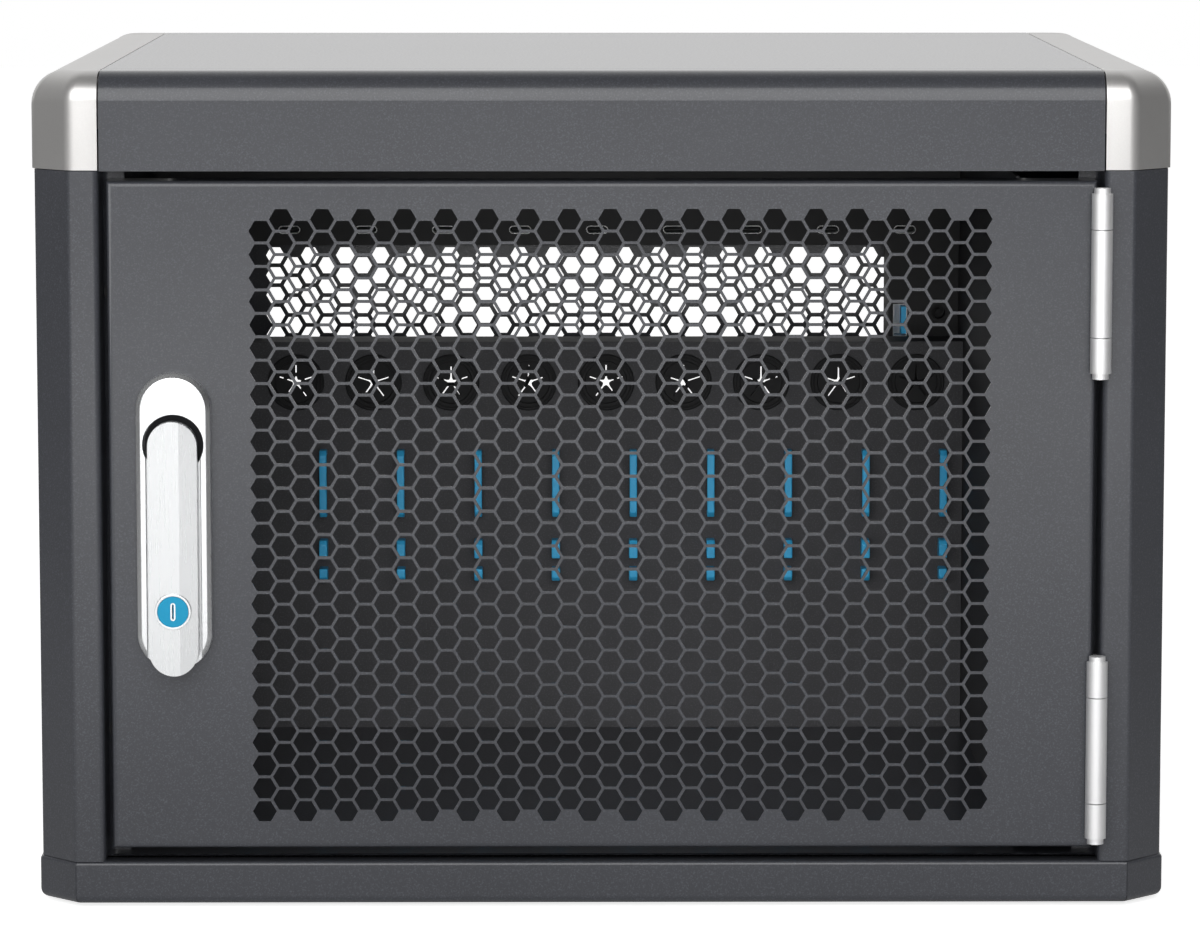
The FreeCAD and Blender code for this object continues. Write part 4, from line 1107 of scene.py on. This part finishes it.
@dataclass(frozen=True)
class DoorSkin:
    """The door: a perforated face bent back into a tray.

    Attributes:
        bend: outer radius of the bends.
        wall: thickness of the sheet.
        shift: how far right of the door's middle the field stands.
        rows: rows of holes.
        steps: points along a bend.
        spindle: radius of the hole for the spindle.
    """

    bend: float = 2.0
    wall: float = 1.2
    shift: float = 6.5
    rows: int = 26
    steps: int = 7
    spindle: float = 5.4

    def section(self) -> np.ndarray:
        """Return the tray's section as inset and depth: front edge, bend, return, and back inside."""
        low, high = millimetre_box("door_panel")
        depth = high[1] - low[1]
        centre = (self.bend, self.bend)
        outer = arc(centre, self.bend, 270.0, 180.0, self.steps)
        inner = arc(centre, self.bend - self.wall, 180.0, 270.0, self.steps)
        return np.concatenate([outer, [(0.0, depth), (self.wall, depth)], inner])

    def build(self, material: bpy.types.Material) -> None:
        """Build the door and let it stand for the solid one.

        The returns are the section carried round the door's rectangle with mitred corners: each corner
        point is the corner of the rectangle, moved in by the section's inset and back by its depth.
        """
        low, high = millimetre_box("door_panel")
        middle = (low + high) / 2
        field = HexField(middle[0] + self.shift, middle[2], self.rows)
        stub = sum(millimetre_box("spindle")) / 2
        hole = arc((stub[0], stub[2]), self.spindle, 0.0, 360.0, 25)[:-1]
        face = PerforatedSheet(field, (low[0], high[0], low[2], high[2]), low[1], self.wall, (hole,))
        piece = Piece("door_skin")
        face.add_cells(piece)
        face.add_border(piece, self.bend)
        section = self.section()
        signs = np.array([(-1, -1), (1, -1), (1, 1), (-1, 1)])[:, None, :]
        reach = np.array([(high[0] - low[0]) / 2, (high[2] - low[2]) / 2])
        flat = np.array([middle[0], middle[2]]) + signs * (reach - section[None, :, :1])
        depth = np.broadcast_to(low[1] + section[None, :, 1], flat.shape[:2])
        points = np.stack([flat[..., 0], depth, flat[..., 1]], axis=-1)
        piece.add(points, grid_faces(4, len(section), wrap_rows=True))
        skin = piece.build(material, Body.DOOR, Slot.SHELL)
        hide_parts("door_panel")


@dataclass(frozen=True)
class RearSkin:
    """The rear panel with its vent, inlet and switch cut-outs.

    Attributes:
        wall: thickness of the sheet.
        shift: how far left of the middle the vent stands.
        vent_z: middle of the vent.
        vent_rows: rows of holes.
        vent_hole: width of a hole between its flats.
        flange: how far the inlet's and the switch's flanges overlap the sheet.
        fit: clearance round the inlet and the switch.
    """

    wall: float = 1.2
    shift: float = 6.5
    vent_z: float = 173.5
    vent_rows: int = 8
    vent_hole: float = 6.6
    flange: float = 2.4
    fit: float = 0.05

    def cutout(self, node: str) -> np.ndarray:
        """Return the cut-out for a node whose flange overlaps the sheet."""
        low, high = millimetre_box(node)
        inset = self.flange - self.fit
        return PerforatedSheet.loop((low[0] + inset, high[0] - inset, low[2] + inset, high[2] - inset))

    def build(self, material: bpy.types.Material) -> None:
        """Build the panel and let it stand for the solid one; its edges close it all round."""
        low, high = millimetre_box("rear_panel")
        middle = (low[0] + high[0]) / 2
        field = HexField(
            middle - self.shift, self.vent_z, self.vent_rows, mirrored=True, across=self.vent_hole
        )
        cutouts = (self.cutout("power_inlet"), self.cutout("switch_bezel"))
        sheet = PerforatedSheet(field, (low[0], high[0], low[2], high[2]), low[1], self.wall, cutouts)
        piece = Piece("rear_skin")
        sheet.add_cells(piece)
        sheet.add_border(piece)
        rim = sheet.loop(sheet.rectangle)
        piece.add(
            np.stack([sheet.lifted(rim, 0.0), sheet.lifted(rim, self.wall)]),
            grid_faces(2, 4, wrap_columns=True), flipped=True,
        )
        skin = piece.build(material, Body.CABINET, Slot.SHELL)
        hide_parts("rear_panel")


# Studio


@dataclass(frozen=True)
class Studio:
    """Floor, backdrop light, lamps and camera.

    Attributes:
        eye: the camera's place, millimetres.
        pitch: how far it looks down, degrees.
        yaw: how far it looks right, degrees.
        lens: its focal length on a sensor 36 mm wide.
        ambient: strength of the world on the object.
        side_loss: how much darker the world is at the sides.
        slant: how much darker it is on the right than in the middle.
        top_loss: how much darker it is overhead.
        floor_side: half the width of the floor.
        pale: the floor's colour.
        dim: its colour in mirror-like surfaces, away from the open floor in front.
        white: its glow for the camera, which keeps the background white.
        shine: share of that glow that mirror-like surfaces see in the open floor.
        open_middle: middle of the open floor along X, metres.
        open_sides: squares of the distances from there over which it fades.
        open_front: distances in front of the cabinet's middle over which it brightens.
    """

    eye: tuple[float, float, float] = (-12.4, -2021.35, 387.1)
    pitch: float = 7.068
    yaw: float = 0.361
    lens: float = 160.24
    ambient: float = 0.5
    side_loss: float = 0.7
    slant: float = 0.14
    top_loss: float = 0.6
    floor_side: float = 6000.0
    pale: tuple[float, float, float] = (0.9, 0.9, 0.9)
    dim: tuple[float, float, float] = (0.34, 0.34, 0.34)
    white: tuple[float, float, float] = (0.75, 0.75, 0.75)
    shine: float = 0.7
    open_middle: float = -0.1
    open_sides: tuple[float, float] = (0.1, 1.4)
    open_front: tuple[float, float] = (-0.2, 1.3)

    def camera(self) -> None:
        """Set up the camera that looks at the front."""
        data = bpy.data.cameras.new("camera")
        data.sensor_width = 36.0
        data.lens = self.lens
        data.clip_end = 50.0
        thing = linked("camera", data)
        thing.location = Vector(self.eye) * MILLI
        thing.rotation_euler = Euler((math.radians(90.0 - self.pitch), 0.0, math.radians(-self.yaw)))
        bpy.context.scene.camera = thing

    def floor(self) -> None:
        """Lay a pale floor that the camera sees as white, with the shadow kept.

        In mirror-like surfaces only the open floor in front of the cabinet is bright: it fades to the
        sides and towards the cabinet.
        """
        side = self.floor_side
        mesh = bpy.data.meshes.new("floor")
        corners = np.array([(-side, -side, 0.0), (side, -side, 0.0), (side, side, 0.0), (-side, side, 0.0)])
        mesh.from_pydata(corners * MILLI, [], [(0, 1, 2, 3)])
        graph = Coating("pale_floor")
        across, along = (graph.axis(name) for name in "XY")
        mirrored, seen = (graph.ray(kind) for kind in ("Glossy", "Camera"))
        beside = across - self.open_middle
        inward = 1.0 - graph.span(beside * beside, *self.open_sides)
        open_floor = inward * graph.span(0.0 - along, *self.open_front)
        graph.set(
            Base_Color=graph.blend(mirrored * (1.0 - open_floor), self.pale, self.dim),
            Roughness=0.9,
            Emission_Color=graph.blend(
                seen + mirrored * open_floor * self.shine, (0.0, 0.0, 0.0), self.white
            ),
            Emission_Strength=1.0,
        )
        mesh.materials.append(graph.material)
        linked("floor", mesh)

    def world(self) -> None:
        """Light the room: dim at the sides, white behind for mirror-like surfaces and for the camera."""
        world = bpy.data.worlds.new("studio")
        world.use_nodes = True
        graph = Graph(world.node_tree, "Generated")
        across, along, up = (graph.axis(name) for name in "XYZ")
        seen_by, through, glossy = (graph.ray(kind) for kind in ("Camera", "Transmission", "Glossy"))
        backdrop = graph.span(along, 0.2, 0.7)
        losses = across * across * self.side_loss + across * self.slant + up * up * self.top_loss
        room = (1.0 - losses) * self.ambient
        mirrored = room + glossy * backdrop * (1.0 - self.ambient)
        seen = graph.span(seen_by + through, 0.0, 1.0)
        strength = mirrored + (1.0 - mirrored) * seen
        inputs = {"Color": (1.0, 1.0, 1.0, 1.0), "Strength": strength}
        background = graph.add("ShaderNodeBackground", {}, inputs)
        output = graph.tree.nodes.new("ShaderNodeOutputWorld")
        graph.feed(output.inputs["Surface"], background)
        bpy.context.scene.world = world

    def lamp(
        self, name: str, place: tuple, aim: tuple, size: tuple, power: float, glossy: bool = True
    ) -> None:
        """Hang one soft lamp.

        Args:
            name: its name.
            place: where it hangs, millimetres.
            aim: what it shines at, millimetres.
            size: its width and height, millimetres.
            power: its power in watts.
            glossy: whether it shows in reflections.
        """
        data = bpy.data.lights.new(name, "AREA")
        data.shape = "RECTANGLE"
        data.size, data.size_y = size[0] * MILLI, size[1] * MILLI
        data.energy = power
        thing = linked(name, data)
        thing.visible_glossy = glossy
        thing.location = Vector(place) * MILLI
        thing.rotation_euler = (Vector(aim) - Vector(place)).to_track_quat("-Z", "Y").to_euler()

    def build(self) -> None:
        """Set up the whole studio."""
        self.camera()
        self.floor()
        self.world()
        self.lamp("front_softbox", (-300.0, -2300.0, 1300.0), (0.0, 0.0, 150.0), (3000.0, 2000.0), 54.0)
        self.lamp("low_fill", (-60.0, -2400.0, 420.0), (0.0, 0.0, 140.0), (700.0, 400.0), 13.0, False)
        bpy.context.scene.view_settings.view_transform = "Standard"


def dress_nodes(materials: dict[Slot, bpy.types.Material]) -> None:
    """Give every solid of the frame the finish of its slot in the record."""
    for part in frame["record"]["subparts"]:
        thing = frame["nodes"][part["node"]]
        thing.data.materials.clear()
        thing.data.materials.append(materials[Slot(part["material_slot"])])


def main() -> None:
    """Build the cabinet's looks and the studio round it."""
    logging.basicConfig(level=logging.INFO)
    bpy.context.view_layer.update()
    materials = Finishes().by_slot()
    dress_nodes(materials)
    for name, side in (("left", -1), ("right", 1)):
        SideSkin(f"{name}_side_panel", side).build(materials[Slot.SHELL])
        CornerCap(f"front_{name}_cap", side, 1, chamfer=13.8, fold=6.0).build(materials[Slot.TRIM])
        CornerCap(f"rear_{name}_cap", side, -1, chamfer=0.0, fold=4.0).build(materials[Slot.TRIM])
    DoorSkin().build(materials[Slot.SHELL])
    RearSkin().build(materials[Slot.SHELL])
    PlinthSkin().build(materials[Slot.SHELL])
    for node, body, slot, radius in (
        ("handle_plate", Body.DOOR, Slot.HANDLE, 0.7),
        ("handle_lever", Body.LEVER, Slot.HANDLE, 0.7),
        ("lock_barrel", Body.LEVER, Slot.HANDLE, 0.2),
        ("cable_bridges", Body.CABINET, Slot.BLUE, 0.5),
        ("cable_clips", Body.CABINET, Slot.BLUE, 0.5),
    ):
        Softened(node, body, slot, radius).build(materials[slot])
    PortShells().build(materials[Slot.ZINC])
    KeywayInsert().build(materials[Slot.ZINC])
    GrommetRow().build(materials[Slot.RUBBER])
    RearScrews().build(materials[Slot.ZINC])
    Studio().build()


if __name__ == "__main__":
    main()
